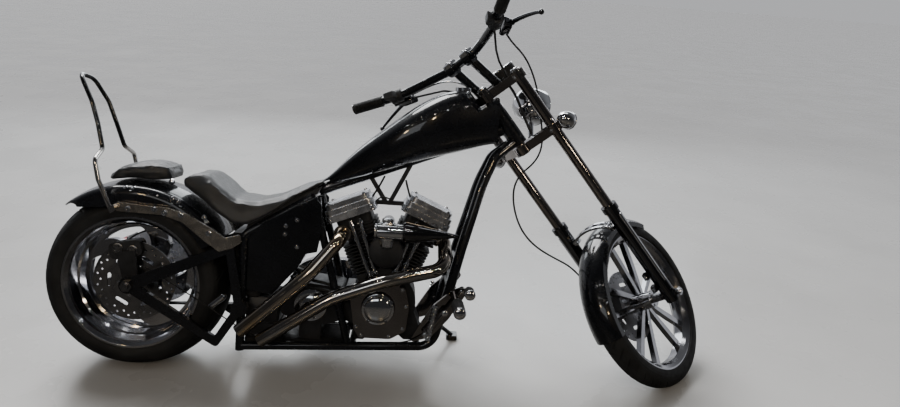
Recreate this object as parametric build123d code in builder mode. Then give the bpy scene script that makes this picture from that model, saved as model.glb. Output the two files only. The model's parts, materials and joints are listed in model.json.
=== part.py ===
from build123d import *
import os
from math import cos, radians, sin, sqrt

# Chopper motorcycle, millimetres and degrees. X is forward, Y is to the rider's left, Z is up.
# Frame pieces are drawn upright, with the rear axle at axle_height and the front axle at fork_height.
# Front end pieces are drawn from the front axle, Z up the fork and X square to it, wheel straight.
# The finished machine is then steered to its left stop, and leant over on its side stand.

# Wheels and steering
wheelbase = 1965
rake = 40.5
steering_lock = 49
fork_offset = 65
lean = 10.2
axle_height = 328
fork_height = 341
rear_radius = 328
front_radius = 341

# Rear tyre and wheel, their depths measured in from the tread
rear_crown = 200
rear_crown_half = 85
rear_shoulder_depth = 36
rear_bulge_depth = 62
rear_sidewall = 85
rear_tyre_half = 123
rear_flange = rear_radius - rear_sidewall
rear_rim_half = 118
rear_lip = 8
rear_well = rear_flange - 13
rear_hub = 44
axle_bore_gap = 0.4

# Front tyre and wheel
front_section = 46
front_sidewall = 62
front_flange = front_radius - front_sidewall
front_rim_half = 38
front_lip = 7
front_well = front_flange - 13
front_hub = 34
front_hub_half = 52

# Brakes and final drive
disc_radius = 146
disc_thick = 5
rear_disc_face = -77
front_disc_face = 62
pad_gap = 5
pulley_radius = 146
sprocket_radius = 60
belt_thick = 6
belt_gap = 0.4
belt_width = 28
belt_middle = 147.5
sprocket_at = (640, 270)

# Axles and swingarm
axle_radius = 12
arm_right = -142
arm_left = 190
arm_thick = 18
arm_top_gap = 58
arm_low_gap = 38
pivot_at = (392, 265)
pivot_radius = 11
pin_gap = 0.3

# Frame tubes
rail_radius = 16
rail_half = 115
rail_rear = (392, 117)
rail_front = (1098, 152)
rail_bend = 70
downtube_radius = 19
downtube_split = (1125, 108, 262)
backbone_radius = 22
backbone_level = 900
backbone_rear = (640, 697)
rear_top = 532
post_top = (655, 98, 604)
post_low = (786, 112, 134)
post_radius = 14
neck_low = 826
neck_high = 1020
neck_radius = 32
stem_radius = 19
stem_gap = 0.5

# Front end, from the axle up the fork
fork_half = 125
tube_radius = 20.5
slider_radius = 27
slider_low = -26
slider_high = 438
lower_tree = 803
upper_tree = 1042
tree_thick = 34
tree_middle = 36
tree_arm = 25
clamp_wall = 10
tube_top = 1062

# Engine
crank = (905, 300)
v_half = 22.5
case_radius = 122
case_right = -78
case_left = 78
deck = 128
barrel_top = 262
head_top = 346
fin_pitch = 13
fin_thick = 5
fin_half = 76
fin_long = 75
cylinder_split = 3

# Bodywork
fender_gap = 26
fender_crown = 14
fender_inner = rear_radius + fender_gap
fender_outer = fender_inner + fender_crown
fender_skin = 5
fender_half = 138
fender_tail = -268
tail_round = 104
seat_half = 142
seat_gap = 4
pad_half = 104

# Exhausts
pipe_radius = 25
pipe_wall = 2.5
mouth_depth = 110
mouth_trim = 18


def polar(radius, angle):
    return (radius * cos(radians(angle)), radius * sin(radians(angle)))


def around_axle(radius, angle):
    """A point of a side view at a distance from the rear axle."""
    x, z = polar(radius, angle)
    return (x, axle_height + z)


def tube(points, bends, radius):
    """Round tube along straight runs joined by tangent arcs."""
    with BuildLine() as path:
        FilletPolyline(*points, radius=bends)
    route = path.wire()
    with BuildSketch(Plane(origin=route @ 0, z_dir=route % 0)) as section:
        Circle(radius)
    sweep(sections=section.sketch, path=route)


def rod(start, end, radius, mode=Mode.ADD):
    """Round bar from one point to another."""
    along = Vector(*end) - Vector(*start)
    with Locations(Plane(origin=start, z_dir=along)):
        Cylinder(radius, along.length, align=(Align.CENTER, Align.CENTER, Align.MIN), mode=mode)


def side_plane(y):
    """Plane of a side view at a given Y: X forward, Z up, facing the right of the machine."""
    return Plane(origin=(0, y, 0), x_dir=(1, 0, 0), z_dir=(0, -1, 0))


def across(x, y, z):
    """Plane of a front view: Y to the right of the sketch, Z up."""
    return Plane(origin=(x, y, z), x_dir=(0, 1, 0), z_dir=(1, 0, 0))


def clear(*others):
    """Cut away what other pieces already fill."""
    for other in others:
        add(other.part, mode=Mode.SUBTRACT)


def outline(points, corner, mode=Mode.ADD):
    """Closed flat outline with rounded corners."""
    with BuildLine() as edge:
        FilletPolyline(*points, radius=corner, close=True)
    make_face(edge.edges(), mode=mode)


def link(start, end, start_half, end_half):
    """Tapered bar in a side view, from one centre to another."""
    x0, z0 = start
    x1, z1 = end
    run = sqrt((x1 - x0) ** 2 + (z1 - z0) ** 2)
    nx, nz = (z0 - z1) / run, (x1 - x0) / run
    Polygon(
        (x0 - nx * start_half, z0 - nz * start_half),
        (x1 - nx * end_half, z1 - nz * end_half),
        (x1 + nx * end_half, z1 + nz * end_half),
        (x0 + nx * start_half, z0 + nz * start_half),
        align=None,
    )


# Placing: the front axle and the steering axis, in the upright machine
front_axle_at = Location((wheelbase, 0, fork_height))
fork_frame = front_axle_at * Location((0, 0, 0), (0, -rake, 0))
stem_foot = fork_frame * Location((-fork_offset, 0, 0))
steered = stem_foot * Location((0, 0, 0), (0, 0, steering_lock)) * Location((fork_offset, 0, 0))
rear_axle_at = Location((0, 0, axle_height))
rear_drop = rear_crown * (1 - cos(radians(lean)))


def parked(pitch):
    """Leant on the rear tyre's crown, nose down by the pitch about the rear axle."""
    raised = Location((0, 0, rear_radius - axle_height))
    tilt = Location((0, 0, rear_drop)) * Location((0, 0, 0), (-lean, 0, 0)) * raised
    return tilt * rear_axle_at * Location((0, 0, 0), (0, pitch, 0)) * rear_axle_at.inverse()


def front_tyre_low(pitch):
    """Lowest point of the steered front tyre above the floor."""
    placed = parked(pitch) * steered
    centre = placed.position
    axis = (placed * Location((0, 1, 0))).position - centre
    return centre.Z - (front_radius - front_section) * sqrt(1 - axis.Z**2) - front_section


def settled_pitch(low=-6, high=6, halvings=50):
    """Pitch that brings the front tyre down to the floor."""
    for _ in range(halvings):
        middle = (low + high) / 2
        if front_tyre_low(middle) > 0:
            low = middle
        else:
            high = middle
    return low


def fork_point(x, y, z):
    """A point of the straight fork, in the upright machine."""
    return (fork_frame * Location((x, y, z))).position


pitch = settled_pitch()
frame_placed = parked(pitch)
steering_placed = frame_placed * steered
rear_wheel_placed = frame_placed * rear_axle_at
pieces = []


def keep(builder, name, placed):
    builder.part.label = name
    pieces.append((builder, name, placed))


# Rear tyre: a wide low one, its crown an arc, closed between the rim flanges
crown_edge = rear_radius - rear_crown + sqrt(rear_crown**2 - rear_crown_half**2)
rear_bulge_radius = rear_radius - rear_bulge_depth
shoulder_half = rear_tyre_half - 11
shoulder_radius = rear_radius - rear_shoulder_depth
with BuildPart() as rear_tyre:
    with BuildSketch(Plane.YZ):
        with BuildLine():
            crown_start, crown_end = (-rear_crown_half, crown_edge), (rear_crown_half, crown_edge)
            crown = ThreePointArc(crown_start, (0, rear_radius), crown_end)
            ThreePointArc(crown @ 1, (shoulder_half, shoulder_radius), (rear_tyre_half, rear_bulge_radius))
            Polyline(
                (rear_tyre_half, rear_bulge_radius),
                (rear_rim_half, rear_flange),
                (rear_rim_half - rear_lip, rear_flange),
                (rear_rim_half - rear_lip, rear_well),
                (-rear_rim_half + rear_lip, rear_well),
                (-rear_rim_half + rear_lip, rear_flange),
                (-rear_rim_half, rear_flange),
                (-rear_tyre_half, rear_bulge_radius),
            )
            ThreePointArc((-rear_tyre_half, rear_bulge_radius), (-shoulder_half, shoulder_radius), crown @ 0)
        make_face()
    revolve(axis=Axis.Y)
keep(rear_tyre, "rear_tyre", rear_wheel_placed)

# Rear rim: deep stepped dishes each side of a web with five swept windows
# columns: half width of a step, its depth in from the flange
rear_rim_steps = ((118, 8), (106, 19), (98, 23), (62, 31), (56, 38), (26, 45))
web_radius = rear_flange - 38
web_half = 15
window_inner = rear_hub + 30
window_outer = rear_flange - 55
window_middle = (window_inner + window_outer) / 2
with BuildPart() as rear_rim:
    with BuildSketch(Plane.YZ):
        with BuildLine():
            Polyline(
                (-rear_rim_half, rear_flange),
                (-rear_rim_half + rear_lip, rear_flange),
                (-rear_rim_half + rear_lip, rear_well),
                (rear_rim_half - rear_lip, rear_well),
                (rear_rim_half - rear_lip, rear_flange),
                (rear_rim_half, rear_flange),
                *[(half, rear_flange - depth) for half, depth in rear_rim_steps],
                *[(-half, rear_flange - depth) for half, depth in reversed(rear_rim_steps)],
                close=True,
            )
        make_face()
    revolve(axis=Axis.Y)
    with BuildSketch(side_plane(0)):
        Circle(web_radius)
        with PolarLocations(0, 5):
            with BuildLine(mode=Mode.PRIVATE) as window:
                near, middle, far = window_inner, window_middle, window_outer
                leading = ThreePointArc(polar(near, 8), polar(middle, 4), polar(far, 20))
                outer = ThreePointArc(leading @ 1, polar(far, 42), polar(far, 64))
                trailing = ThreePointArc(outer @ 1, polar(middle, 44), polar(near, 46))
                ThreePointArc(trailing @ 1, polar(near, 27), leading @ 0)
            add(make_face(window.line, mode=Mode.PRIVATE), mode=Mode.SUBTRACT)
    extrude(amount=web_half, both=True)
    rod((0, rear_disc_face, 0), (0, belt_middle - belt_width / 2 - 2, 0), rear_hub)
    rod((0, -200, 0), (0, 200, 0), axle_radius + axle_bore_gap, mode=Mode.SUBTRACT)
keep(rear_rim, "rear_rim", rear_wheel_placed)


# Brake discs: a drilled ring, with slots towards the carrier
def disc_cuts(ring_hole):
    Circle(ring_hole, mode=Mode.SUBTRACT)
    with PolarLocations(90, 6):
        SlotOverall(50, 14, rotation=90, mode=Mode.SUBTRACT)
    with PolarLocations(121, 20):
        Circle(4, mode=Mode.SUBTRACT)
    with PolarLocations(133, 20, start_angle=9):
        Circle(4, mode=Mode.SUBTRACT)


with BuildPart() as rear_disc:
    with BuildSketch(side_plane(rear_disc_face)):
        Circle(disc_radius)
        disc_cuts(34)
    extrude(amount=disc_thick)
keep(rear_disc, "rear_disc", rear_wheel_placed)

# Rear belt pulley, outboard of the tyre on the left
pulley_inner = belt_middle - belt_width / 2 - 2
pulley_outer = belt_middle + belt_width / 2 + 2
with BuildPart() as rear_pulley:
    with BuildSketch(side_plane(pulley_inner)):
        Circle(pulley_radius)
        Circle(34, mode=Mode.SUBTRACT)
        with PolarLocations(92, 5):
            Circle(24, mode=Mode.SUBTRACT)
    extrude(amount=pulley_inner - pulley_outer)
    with BuildSketch(side_plane(pulley_outer)):
        Circle(pulley_radius + belt_thick)
        Circle(pulley_radius - 12, mode=Mode.SUBTRACT)
    extrude(amount=-3)
keep(rear_pulley, "rear_pulley", rear_wheel_placed)

# Drive belt from the gearbox sprocket to the rear pulley
with BuildPart() as drive_belt:
    with BuildSketch(side_plane(belt_middle + belt_width / 2)):
        with Locations((0, axle_height)):
            Circle(pulley_radius + belt_gap + belt_thick)
        with Locations(sprocket_at):
            Circle(sprocket_radius + belt_gap + belt_thick)
        make_hull()
    extrude(amount=belt_width)
    with BuildSketch(side_plane(belt_middle + belt_width / 2)):
        with Locations((0, axle_height)):
            Circle(pulley_radius + belt_gap)
        with Locations(sprocket_at):
            Circle(sprocket_radius + belt_gap)
        make_hull()
    extrude(amount=belt_width, mode=Mode.SUBTRACT)
keep(drive_belt, "drive_belt", frame_placed)

# Rear axle with its spacers and nuts
with BuildPart() as rear_axle:
    rod((0, arm_right - 34, axle_height), (0, arm_left + 34, axle_height), axle_radius)
    rod((0, arm_right + arm_thick / 2, axle_height), (0, rear_disc_face - 0.6, axle_height), 20)
    rod((0, pulley_outer + 3.6, axle_height), (0, arm_left - arm_thick / 2, axle_height), 20)
    for face, way in ((arm_right - arm_thick / 2, -1), (arm_left + arm_thick / 2, 1)):
        with BuildSketch(side_plane(face)):
            with Locations((0, axle_height)):
                RegularPolygon(21, 6)
        extrude(amount=-way * 15)
keep(rear_axle, "rear_axle", frame_placed)

# Swingarm: a triangle of bars each side, joined by cross tubes and hung on the pivot pin
arm_corner_top = around_axle(rear_radius + arm_top_gap, 24.2)
arm_corner_low = around_axle(rear_radius + arm_low_gap, -31.5)
with BuildPart() as swingarm:
    for side_y in (arm_right, arm_left):
        with BuildSketch(side_plane(side_y + arm_thick / 2)):
            link((0, axle_height), arm_corner_top, 24, 17)
            link((0, axle_height), arm_corner_low, 20, 15)
            link(arm_corner_top, pivot_at, 15, 16)
            link(arm_corner_low, pivot_at, 15, 16)
            with Locations((0, axle_height), pivot_at):
                Circle(30)
            with Locations(arm_corner_top):
                Circle(17)
            with Locations(arm_corner_low):
                Circle(15)
            with Locations((0, axle_height)):
                Circle(axle_radius, mode=Mode.SUBTRACT)
        extrude(amount=arm_thick)
    reach = (arm_right - arm_thick / 2, arm_left + arm_thick / 2)
    rod((arm_corner_top[0], reach[0], arm_corner_top[1]), (arm_corner_top[0], reach[1], arm_corner_top[1]), 13)
    rod((arm_corner_low[0], reach[0], arm_corner_low[1]), (arm_corner_low[0], reach[1], arm_corner_low[1]), 12)
    rod((pivot_at[0], reach[0], pivot_at[1]), (pivot_at[0], reach[1], pivot_at[1]), pivot_radius)
keep(swingarm, "swingarm", frame_placed)

# Frame, rear section: uprights at the swingarm pivot and the top rails under the seat
with BuildPart() as frame_rear:
    for side in (-1, 1):
        y = side * rail_half
        tube(
            [(rail_rear[0], y, rail_rear[1] - rail_radius), (rail_rear[0], y, rear_top), (620, side * 62, 676)],
            40,
            rail_radius,
        )
        rod((rail_rear[0], y - 17, pivot_at[1]), (rail_rear[0], y + 17, pivot_at[1]), pivot_radius + 12)
    rod((rail_rear[0], -rail_half, 165), (rail_rear[0], rail_half, 165), 14)
    rod((rail_rear[0] + 4, -rail_half + 2, 480), (rail_rear[0] + 4, rail_half - 2, 480), 12)
    rod((620, -70, 676), (620, 70, 676), rail_radius)
    pin_hole = pivot_radius + pin_gap
    rod((rail_rear[0], -200, pivot_at[1]), (rail_rear[0], 200, pivot_at[1]), pin_hole, mode=Mode.SUBTRACT)
keep(frame_rear, "frame_rear", frame_placed)

# Frame rails: a tube each side under the engine, turned up at the front, and their cross members
fork_of_tubes = downtube_split
with BuildPart() as frame_rails:
    for side in (-1, 1):
        y = side * rail_half
        tube(
            [
                (rail_rear[0] + 2, y, rail_rear[1]),
                (rail_front[0], y, rail_front[1]),
                (fork_of_tubes[0], side * fork_of_tubes[1], fork_of_tubes[2]),
            ],
            rail_bend,
            rail_radius,
        )
    for cross_x, cross_z in ((560, 128), (800, 138), (1040, 147)):
        rod((cross_x, -rail_half, cross_z), (cross_x, rail_half, cross_z), 13)
    clear(frame_rear)
keep(frame_rails, "frame_rails", frame_placed)

# Backbone and steering neck
backbone_end = fork_point(-fork_offset, 0, backbone_level)
backbone_front = (backbone_end.X, backbone_end.Z)
stem_low = fork_point(-fork_offset, 0, neck_low)
stem_high = fork_point(-fork_offset, 0, neck_high)
with BuildPart() as frame_neck:
    rod((backbone_front[0], 0, backbone_front[1]), (backbone_rear[0], 0, backbone_rear[1]), backbone_radius)
    rod(stem_low, stem_high, neck_radius)
    rod(
        fork_point(-fork_offset, 0, neck_low - 20),
        fork_point(-fork_offset, 0, neck_high + 20),
        stem_radius + stem_gap,
        mode=Mode.SUBTRACT,
    )
    clear(frame_rear)
keep(frame_neck, "frame_neck", frame_placed)

# Downtubes from the rails up to the steering neck
downtube_y = 20
downtube_top = fork_point(-fork_offset - 19, downtube_y, neck_low + 20)
with BuildPart() as frame_downtubes:
    for side in (-1, 1):
        tube(
            [
                (fork_of_tubes[0], side * fork_of_tubes[1], fork_of_tubes[2]),
                (1185, side * 88, 535),
                (1243, side * 64, 770),
                (1284, side * 46, 872),
                (downtube_top.X, side * downtube_top.Y, downtube_top.Z),
            ],
            [600, 500, 60],
            downtube_radius,
        )
    rod((1172, -88, 478), (1172, 88, 478), 12)
    clear(frame_neck, frame_rails)
keep(frame_downtubes, "frame_downtubes", frame_placed)

# Seat posts between the engine and the oil tank
with BuildPart() as seat_posts:
    for side in (-1, 1):
        tube(
            [
                (640, side * 62, 676),
                (post_top[0], side * post_top[1], post_top[2]),
                (post_low[0], side * post_low[1], post_low[2]),
            ],
            30,
            post_radius,
        )
    clear(frame_rear, frame_rails)
keep(seat_posts, "seat_posts", frame_placed)

# Rear fender: a skin hugging the tyre, its skirts cut level at the tail
fender_start = 136
fender_end = 30
skirt_low = rear_radius - 38
# columns: x, height above the axle of the tail's lower edge
tail_edge = ((-30, 272), (-120, 273), (-300, 258), (-400, 252))
with BuildPart() as rear_fender:
    spoke = polar(1, fender_start)
    outer_skin = (fender_outer, fender_half, Mode.ADD)
    inner_skin = (fender_outer - fender_skin, fender_half - fender_skin, Mode.SUBTRACT)
    with BuildSketch(Plane(origin=(0, 0, axle_height), x_dir=(0, 1, 0), z_dir=(spoke[1], 0, -spoke[0]))):
        for radius, half, mode in (outer_skin, inner_skin):
            with BuildLine():
                top = ThreePointArc((-half + 34, radius - 11), (0, radius), (half - 34, radius - 11))
                ThreePointArc(top @ 1, (half - 9, radius - 22), (half, radius - 48))
                Polyline((half, radius - 48), (half, skirt_low), (-half, skirt_low), (-half, radius - 48))
                ThreePointArc((-half, radius - 48), (-half + 9, radius - 22), top @ 0)
            make_face(mode=mode)
    revolve(axis=Axis((0, 0, axle_height), (0, 1, 0)), revolution_arc=fender_start - fender_end)
    with BuildSketch(side_plane(fender_half + 60)):
        low_edge = [(x, axle_height + height) for x, height in tail_edge]
        Polygon((-400, axle_height - 28), (-30, axle_height - 28), *low_edge, align=None)
    extrude(amount=2 * fender_half + 120, mode=Mode.SUBTRACT)
    with BuildSketch(Plane.XY.offset(axle_height)) as tail_plan:
        wide = fender_half + 1
        with BuildLine():
            corner = fender_tail + tail_round
            tail = ThreePointArc((corner, -wide), (fender_tail, 0), (corner, wide))
            Polyline(tail @ 1, (2 * fender_outer, wide), (2 * fender_outer, -wide), tail @ 0)
        make_face()
    extrude(amount=2 * fender_outer, mode=Mode.INTERSECT)
keep(rear_fender, "rear_fender", frame_placed)

# Fender struts: curved flat bars outside the skirts, footed on the frame's uprights
strut_outline = [
    (-60, 606),
    (-30, 628),
    (50, 622),
    (140, 618),
    (205, 600),
    (300, 549),
    (336, 524),
    (392, 540),
    (394, 510),
    (362, 488),
    (318, 474),
    (270, 506),
    (190, 570),
    (120, 592),
    (-44, 596),
]
strut_thick = 10
strut_inner = fender_half + 14
# columns: x, z of each bolt boss between a strut and the skirt
strut_bosses = ((20, 609), (196, 584), (282, 536))
with BuildPart() as fender_struts:
    for near in (-strut_inner, strut_inner + strut_thick):
        with BuildSketch(side_plane(near)):
            outline(strut_outline, 9)
        extrude(amount=strut_thick)
    for side in (-1, 1):
        for boss_x, boss_z in strut_bosses:
            rod((boss_x, side * fender_half, boss_z), (boss_x, side * (strut_inner + 1), boss_z), 9)
    clear(rear_fender, swingarm)
keep(fender_struts, "fender_struts", frame_placed)

# Sissy bar: a round hoop leaning back over the tail, its feet bolted through the strut ends
bar_radius = 8
foot_half = strut_inner + strut_thick + bar_radius + 1
with BuildPart() as sissy_bar:
    tube(
        [
            (-44, -foot_half, 592),
            (-92, -foot_half, 702),
            (-106, -foot_half + 4, 770),
            (-112, -92, 802),
            (-136, -76, 890),
            (-160, -68, 965),
            (-204, -48, 1045),
            (-226, 0, 1058),
            (-204, 48, 1045),
            (-160, 68, 965),
            (-136, 76, 890),
            (-112, 92, 802),
            (-106, foot_half - 4, 770),
            (-92, foot_half, 702),
            (-44, foot_half, 592),
        ],
        [60, 24, 24, 90, 90, 40, 22, 40, 90, 90, 24, 24, 60],
        bar_radius,
    )
    for way in (-1, 1):
        rod((-42, way * (strut_inner + strut_thick), 606), (-42, way * (foot_half + 12), 606), 12)
keep(sissy_bar, "sissy_bar", frame_placed)

# Plate bracket beside the wheel on the left, with the tail lamp over the plate
plate_at = (-150, 272, axle_height + 2)
plate_size = (108, 190)
plate_bolt_circle = 108
plate_hole = 3.5
plate_thick = 4
with BuildPart() as plate_bracket:
    with BuildSketch(across(*plate_at)):
        RectangleRounded(*plate_size, 10)
        with PolarLocations(plate_bolt_circle / 2, 4, start_angle=45):
            Circle(plate_hole, mode=Mode.SUBTRACT)
    extrude(amount=plate_thick)
    rod((plate_at[0] + 3, plate_at[1] - 22, plate_at[2]), (-30, arm_left + 46, plate_at[2]), 8)
    rod((0, arm_left + 30, axle_height), (0, arm_left + 54, axle_height), 16)
    with BuildSketch(side_plane(arm_left + 52)):
        link((-60, axle_height + 1), (0, axle_height), 14, 16)
    extrude(amount=10)
    clear(rear_axle)
keep(plate_bracket, "plate_bracket", frame_placed)

with BuildPart() as tail_lamp:
    with BuildSketch(across(plate_at[0] - 0.4, plate_at[1], plate_at[2] + 66)):
        RectangleRounded(92, 34, 14)
    extrude(amount=-24)
keep(tail_lamp, "tail_lamp", frame_placed)

# Rider's seat: a side outline from the fender to the tank, narrowed in plan to the nose
seat_side = [
    (168, 690),
    (162, 716),
    (200, 742),
    (245, 738),
    (300, 692),
    (352, 652),
    (430, 646),
    (500, 664),
    (580, 706),
    (652, 744),
    (664, 730),
    (650, 714),
    (560, 668),
    (470, 600),
    (405, 565),
    (350, 566),
    (290, 604),
    (230, 650),
]
seat_plan = [
    (140, 112),
    (200, 126),
    (300, seat_half),
    (400, seat_half),
    (500, 118),
    (600, 74),
    (670, 46),
    (670, -46),
    (600, -74),
    (500, -118),
    (400, -seat_half),
    (300, -seat_half),
    (200, -126),
    (140, -112),
]
with BuildPart() as rider_seat:
    with BuildSketch(side_plane(seat_half)):
        outline(seat_side, 8)
    extrude(amount=2 * seat_half)
    with BuildSketch(Plane.XY.offset(500)):
        outline(seat_plan, 20)
    extrude(amount=300, mode=Mode.INTERSECT)
    with BuildSketch(Plane.YZ):
        outline([(-160, 400), (-160, 690), (-96, 746), (96, 746), (160, 690), (160, 400)], 40)
    extrude(amount=700, mode=Mode.INTERSECT)
    with Locations(Location((0, 0, axle_height), (90, 0, 0))):
        Cylinder(fender_outer + seat_gap, 2 * fender_half, mode=Mode.SUBTRACT)
    clear(frame_neck, frame_rear, seat_posts)
keep(rider_seat, "rider_seat", frame_placed)

# Pillion pad on the fender's crown
# columns: x, height above the crown
pad_side = (
    (-100, -8),
    (-99, 18),
    (-60, 42),
    (0, 56),
    (60, 62),
    (138, 58),
    (150, 42),
    (148, 8),
    (58, 3),
    (0, 6),
    (-50, 1),
)
crown_height = axle_height + fender_outer
pad_long = 252
pad_middle = 25
with BuildPart() as pillion_pad:
    with BuildSketch(side_plane(pad_half)):
        outline([(x, crown_height + height) for x, height in pad_side], 8)
    extrude(amount=2 * pad_half)
    with BuildSketch(Plane.XY.offset(crown_height - 100)):
        with Locations((pad_middle, 0)):
            RectangleRounded(pad_long, 2 * pad_half, 34)
    extrude(amount=200, mode=Mode.INTERSECT)
    with Locations(Location((0, 0, axle_height), (90, 0, 0))):
        Cylinder(fender_outer + 1, 2 * fender_half, mode=Mode.SUBTRACT)
keep(pillion_pad, "pillion_pad", frame_placed)


def tree_plan(grow=0):
    """Plan of a fork tree about the stem: its middle, its two clamps and the arms between them."""
    Circle(tree_middle + grow)
    for side in (-1, 1):
        link((0, 0), (fork_offset, side * fork_half), tree_arm + grow, tree_arm + grow)
        with Locations((fork_offset, side * fork_half)):
            Circle(tube_radius + clamp_wall + grow)


# Fuel tank: egg-shaped sections from tail to neck, cut around the neck and tunnelled for the backbone
# columns: x, bottom z, top z, half width
tank_sections = (
    (652, 714, 738, 16),
    (700, 728, 783, 38),
    (780, 755, 868, 72),
    (880, 790, 956, 106),
    (1000, 834, 1050, 124),
    (1110, 868, 1102, 110),
    (1200, 896, 1108, 88),
    (1292, 920, 1092, 74),
)
tank_round = 0.72
tank_front = 1284
steering_gap = 6
tank_points = 16
knots = [step / tank_points for step in range(tank_points + 1)]
with BuildPart() as tank_cuts:
    rod(
        fork_point(-fork_offset, 0, neck_low - 100),
        fork_point(-fork_offset, 0, neck_high + 150),
        neck_radius + steering_gap,
    )
    for turn in (-steering_lock, 0, steering_lock):
        height = upper_tree - tree_thick / 2 - steering_gap
        with BuildSketch(Plane(stem_foot * Location((0, 0, height), (0, 0, turn)))):
            tree_plan(steering_gap)
        extrude(amount=140)
    along = Vector(backbone_front[0] - backbone_rear[0], 0, backbone_front[1] - backbone_rear[1])
    middle = ((backbone_front[0] + backbone_rear[0]) / 2, 0, (backbone_front[1] + backbone_rear[1]) / 2)
    tunnel = Plane(origin=middle, x_dir=along, z_dir=Vector(-along.Z, 0, along.X))
    with Locations(tunnel * Location((0, 0, -55))):
        Box(along.length + 200, 2 * backbone_radius + 10, 2 * backbone_radius + 120)
    with Locations((tank_front + 150, 0, 1000)):
        Box(300, 400, 400)
with BuildPart() as fuel_tank:
    for x, bottom, top, half in tank_sections:
        ring = []
        for step in range(tank_points):
            turn = radians(360 * step / tank_points)
            wide = abs(cos(turn)) ** tank_round * (1 if cos(turn) > 0 else -1)
            high = abs(sin(turn)) ** tank_round * (1 if sin(turn) > 0 else -1)
            ring.append((half * wide, (top - bottom) / 2 * high))
        with BuildSketch(across(x, 0, (bottom + top) / 2)):
            with BuildLine():
                add(Edge.make_spline(ring, periodic=True, parameters=knots))
            make_face()
    loft()
    clear(tank_cuts, rider_seat)
keep(fuel_tank, "fuel_tank", frame_placed)

with BuildPart() as tank_cap:
    with Locations(Plane(origin=(1150, 0, 1099), z_dir=(-0.03, 0, 1))):
        Cylinder(30, 20, align=(Align.CENTER, Align.CENTER, Align.MIN))
    clear(fuel_tank)
keep(tank_cap, "tank_cap", frame_placed)

# Oil tank wrapped between the rear uprights and the seat posts
oil_side = [
    (412, 330),
    (412, 516),
    (480, 556),
    (560, 604),
    (628, 644),
    (636, 560),
    (618, 480),
    (590, 424),
    (500, 318),
]
with BuildPart() as oil_tank:
    with BuildSketch(side_plane(118)):
        outline(oil_side, 14)
    extrude(amount=236)
    clear(frame_rear, seat_posts)
keep(oil_tank, "oil_tank", frame_placed)


# Engine cases: the crank house with a deck for each barrel and feet on the rails' cross members
def bank(angle, distance):
    """Plane square to a barrel's axis, at a distance from the crank: X across the barrel, Y to the left."""
    lean_back = (sin(radians(angle)), 0, cos(radians(angle)))
    centre = (crank[0] + lean_back[0] * distance, 0, crank[1] + lean_back[2] * distance)
    return Plane(origin=centre, x_dir=(lean_back[2], 0, -lean_back[0]), z_dir=lean_back)


case_feet = [
    (800, 200),
    (800, 152),
    (840, 152),
    (860, 185),
    (960, 185),
    (990, 160),
    (1052, 160),
    (1052, 200),
    (1010, 300),
]
with BuildPart() as crankcase:
    with BuildSketch(side_plane(case_left)):
        with Locations(crank):
            Circle(case_radius)
            for angle in (-v_half, v_half):
                with Locations(Location((0, 0), -angle)):
                    with Locations((0, deck - 40)):
                        Rectangle(120, 80)
        outline(case_feet, 6)
        outline([(760, 345), (760, 225), (800, 210), (830, 345)], 6)
    extrude(amount=case_left - case_right)
keep(crankcase, "crankcase", frame_placed)

gearbox_side = [(530, 330), (590, 362), (700, 352), (758, 345), (758, 225), (700, 205), (590, 205), (530, 240)]
with BuildPart() as gearbox:
    with BuildSketch(side_plane(84)):
        outline(gearbox_side, 18)
        outline([(600, 215), (600, 141), (680, 141), (680, 215)], 3)
    extrude(amount=168)
    with BuildSketch(side_plane(-84)):
        with Locations((640, 280)):
            Circle(62)
    extrude(amount=14)
    rod((sprocket_at[0], 84, sprocket_at[1]), (sprocket_at[0], belt_middle + belt_width / 2 + 4, sprocket_at[1]), 26)
    rod(
        (sprocket_at[0], belt_middle - belt_width / 2, sprocket_at[1]),
        (sprocket_at[0], belt_middle + belt_width / 2, sprocket_at[1]),
        sprocket_radius,
    )
keep(gearbox, "gearbox", frame_placed)

# Primary cover on the left, from the crank to the clutch
primary_face = belt_middle + belt_width / 2 + 4
with BuildPart() as primary_cover:
    with BuildSketch(side_plane(primary_face)):
        with Locations(crank):
            Circle(98)
        with Locations(sprocket_at):
            Circle(126)
        make_hull()
    extrude(amount=-52)
    with BuildSketch(side_plane(primary_face + 52)):
        with Locations(sprocket_at):
            Circle(78)
    extrude(amount=-12)
    rod((crank[0], case_left, crank[1]), (crank[0], primary_face, crank[1]), 70)
keep(primary_cover, "primary_cover", frame_placed)

# Finned barrels and heads, each kept on its own side of the engine's middle
barrel_radius = 56
barrel_fin_corner = 24
head_fin_corner = 26
with BuildPart() as cylinders:
    with BuildSketch(bank(v_half, deck)):
        Circle(barrel_radius)
    extrude(amount=barrel_top - deck)
    for level in range(int((barrel_top - deck - fin_thick) / fin_pitch)):
        with BuildSketch(bank(v_half, deck + 6 + level * fin_pitch)):
            RectangleRounded(2 * fin_long, 2 * fin_half, barrel_fin_corner)
        extrude(amount=fin_thick)
    with BuildSketch(bank(v_half, barrel_top)):
        RectangleRounded(2 * fin_long - 16, 2 * fin_half - 16, barrel_fin_corner - 4)
    extrude(amount=head_top - barrel_top)
    for level in range(int((head_top - barrel_top - 20) / fin_pitch)):
        with BuildSketch(bank(v_half, barrel_top + 2 + level * fin_pitch)):
            RectangleRounded(2 * fin_long + 8, 2 * fin_half + 4, head_fin_corner)
        extrude(amount=fin_thick)
    split(bisect_by=Plane(origin=(crank[0] + cylinder_split / 2, 0, 0), z_dir=(1, 0, 0)), keep=Keep.TOP)
    mirror(about=Plane(origin=(crank[0], 0, 0), z_dir=(1, 0, 0)))
    clear(crankcase)
keep(cylinders, "cylinders", frame_placed)

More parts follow.
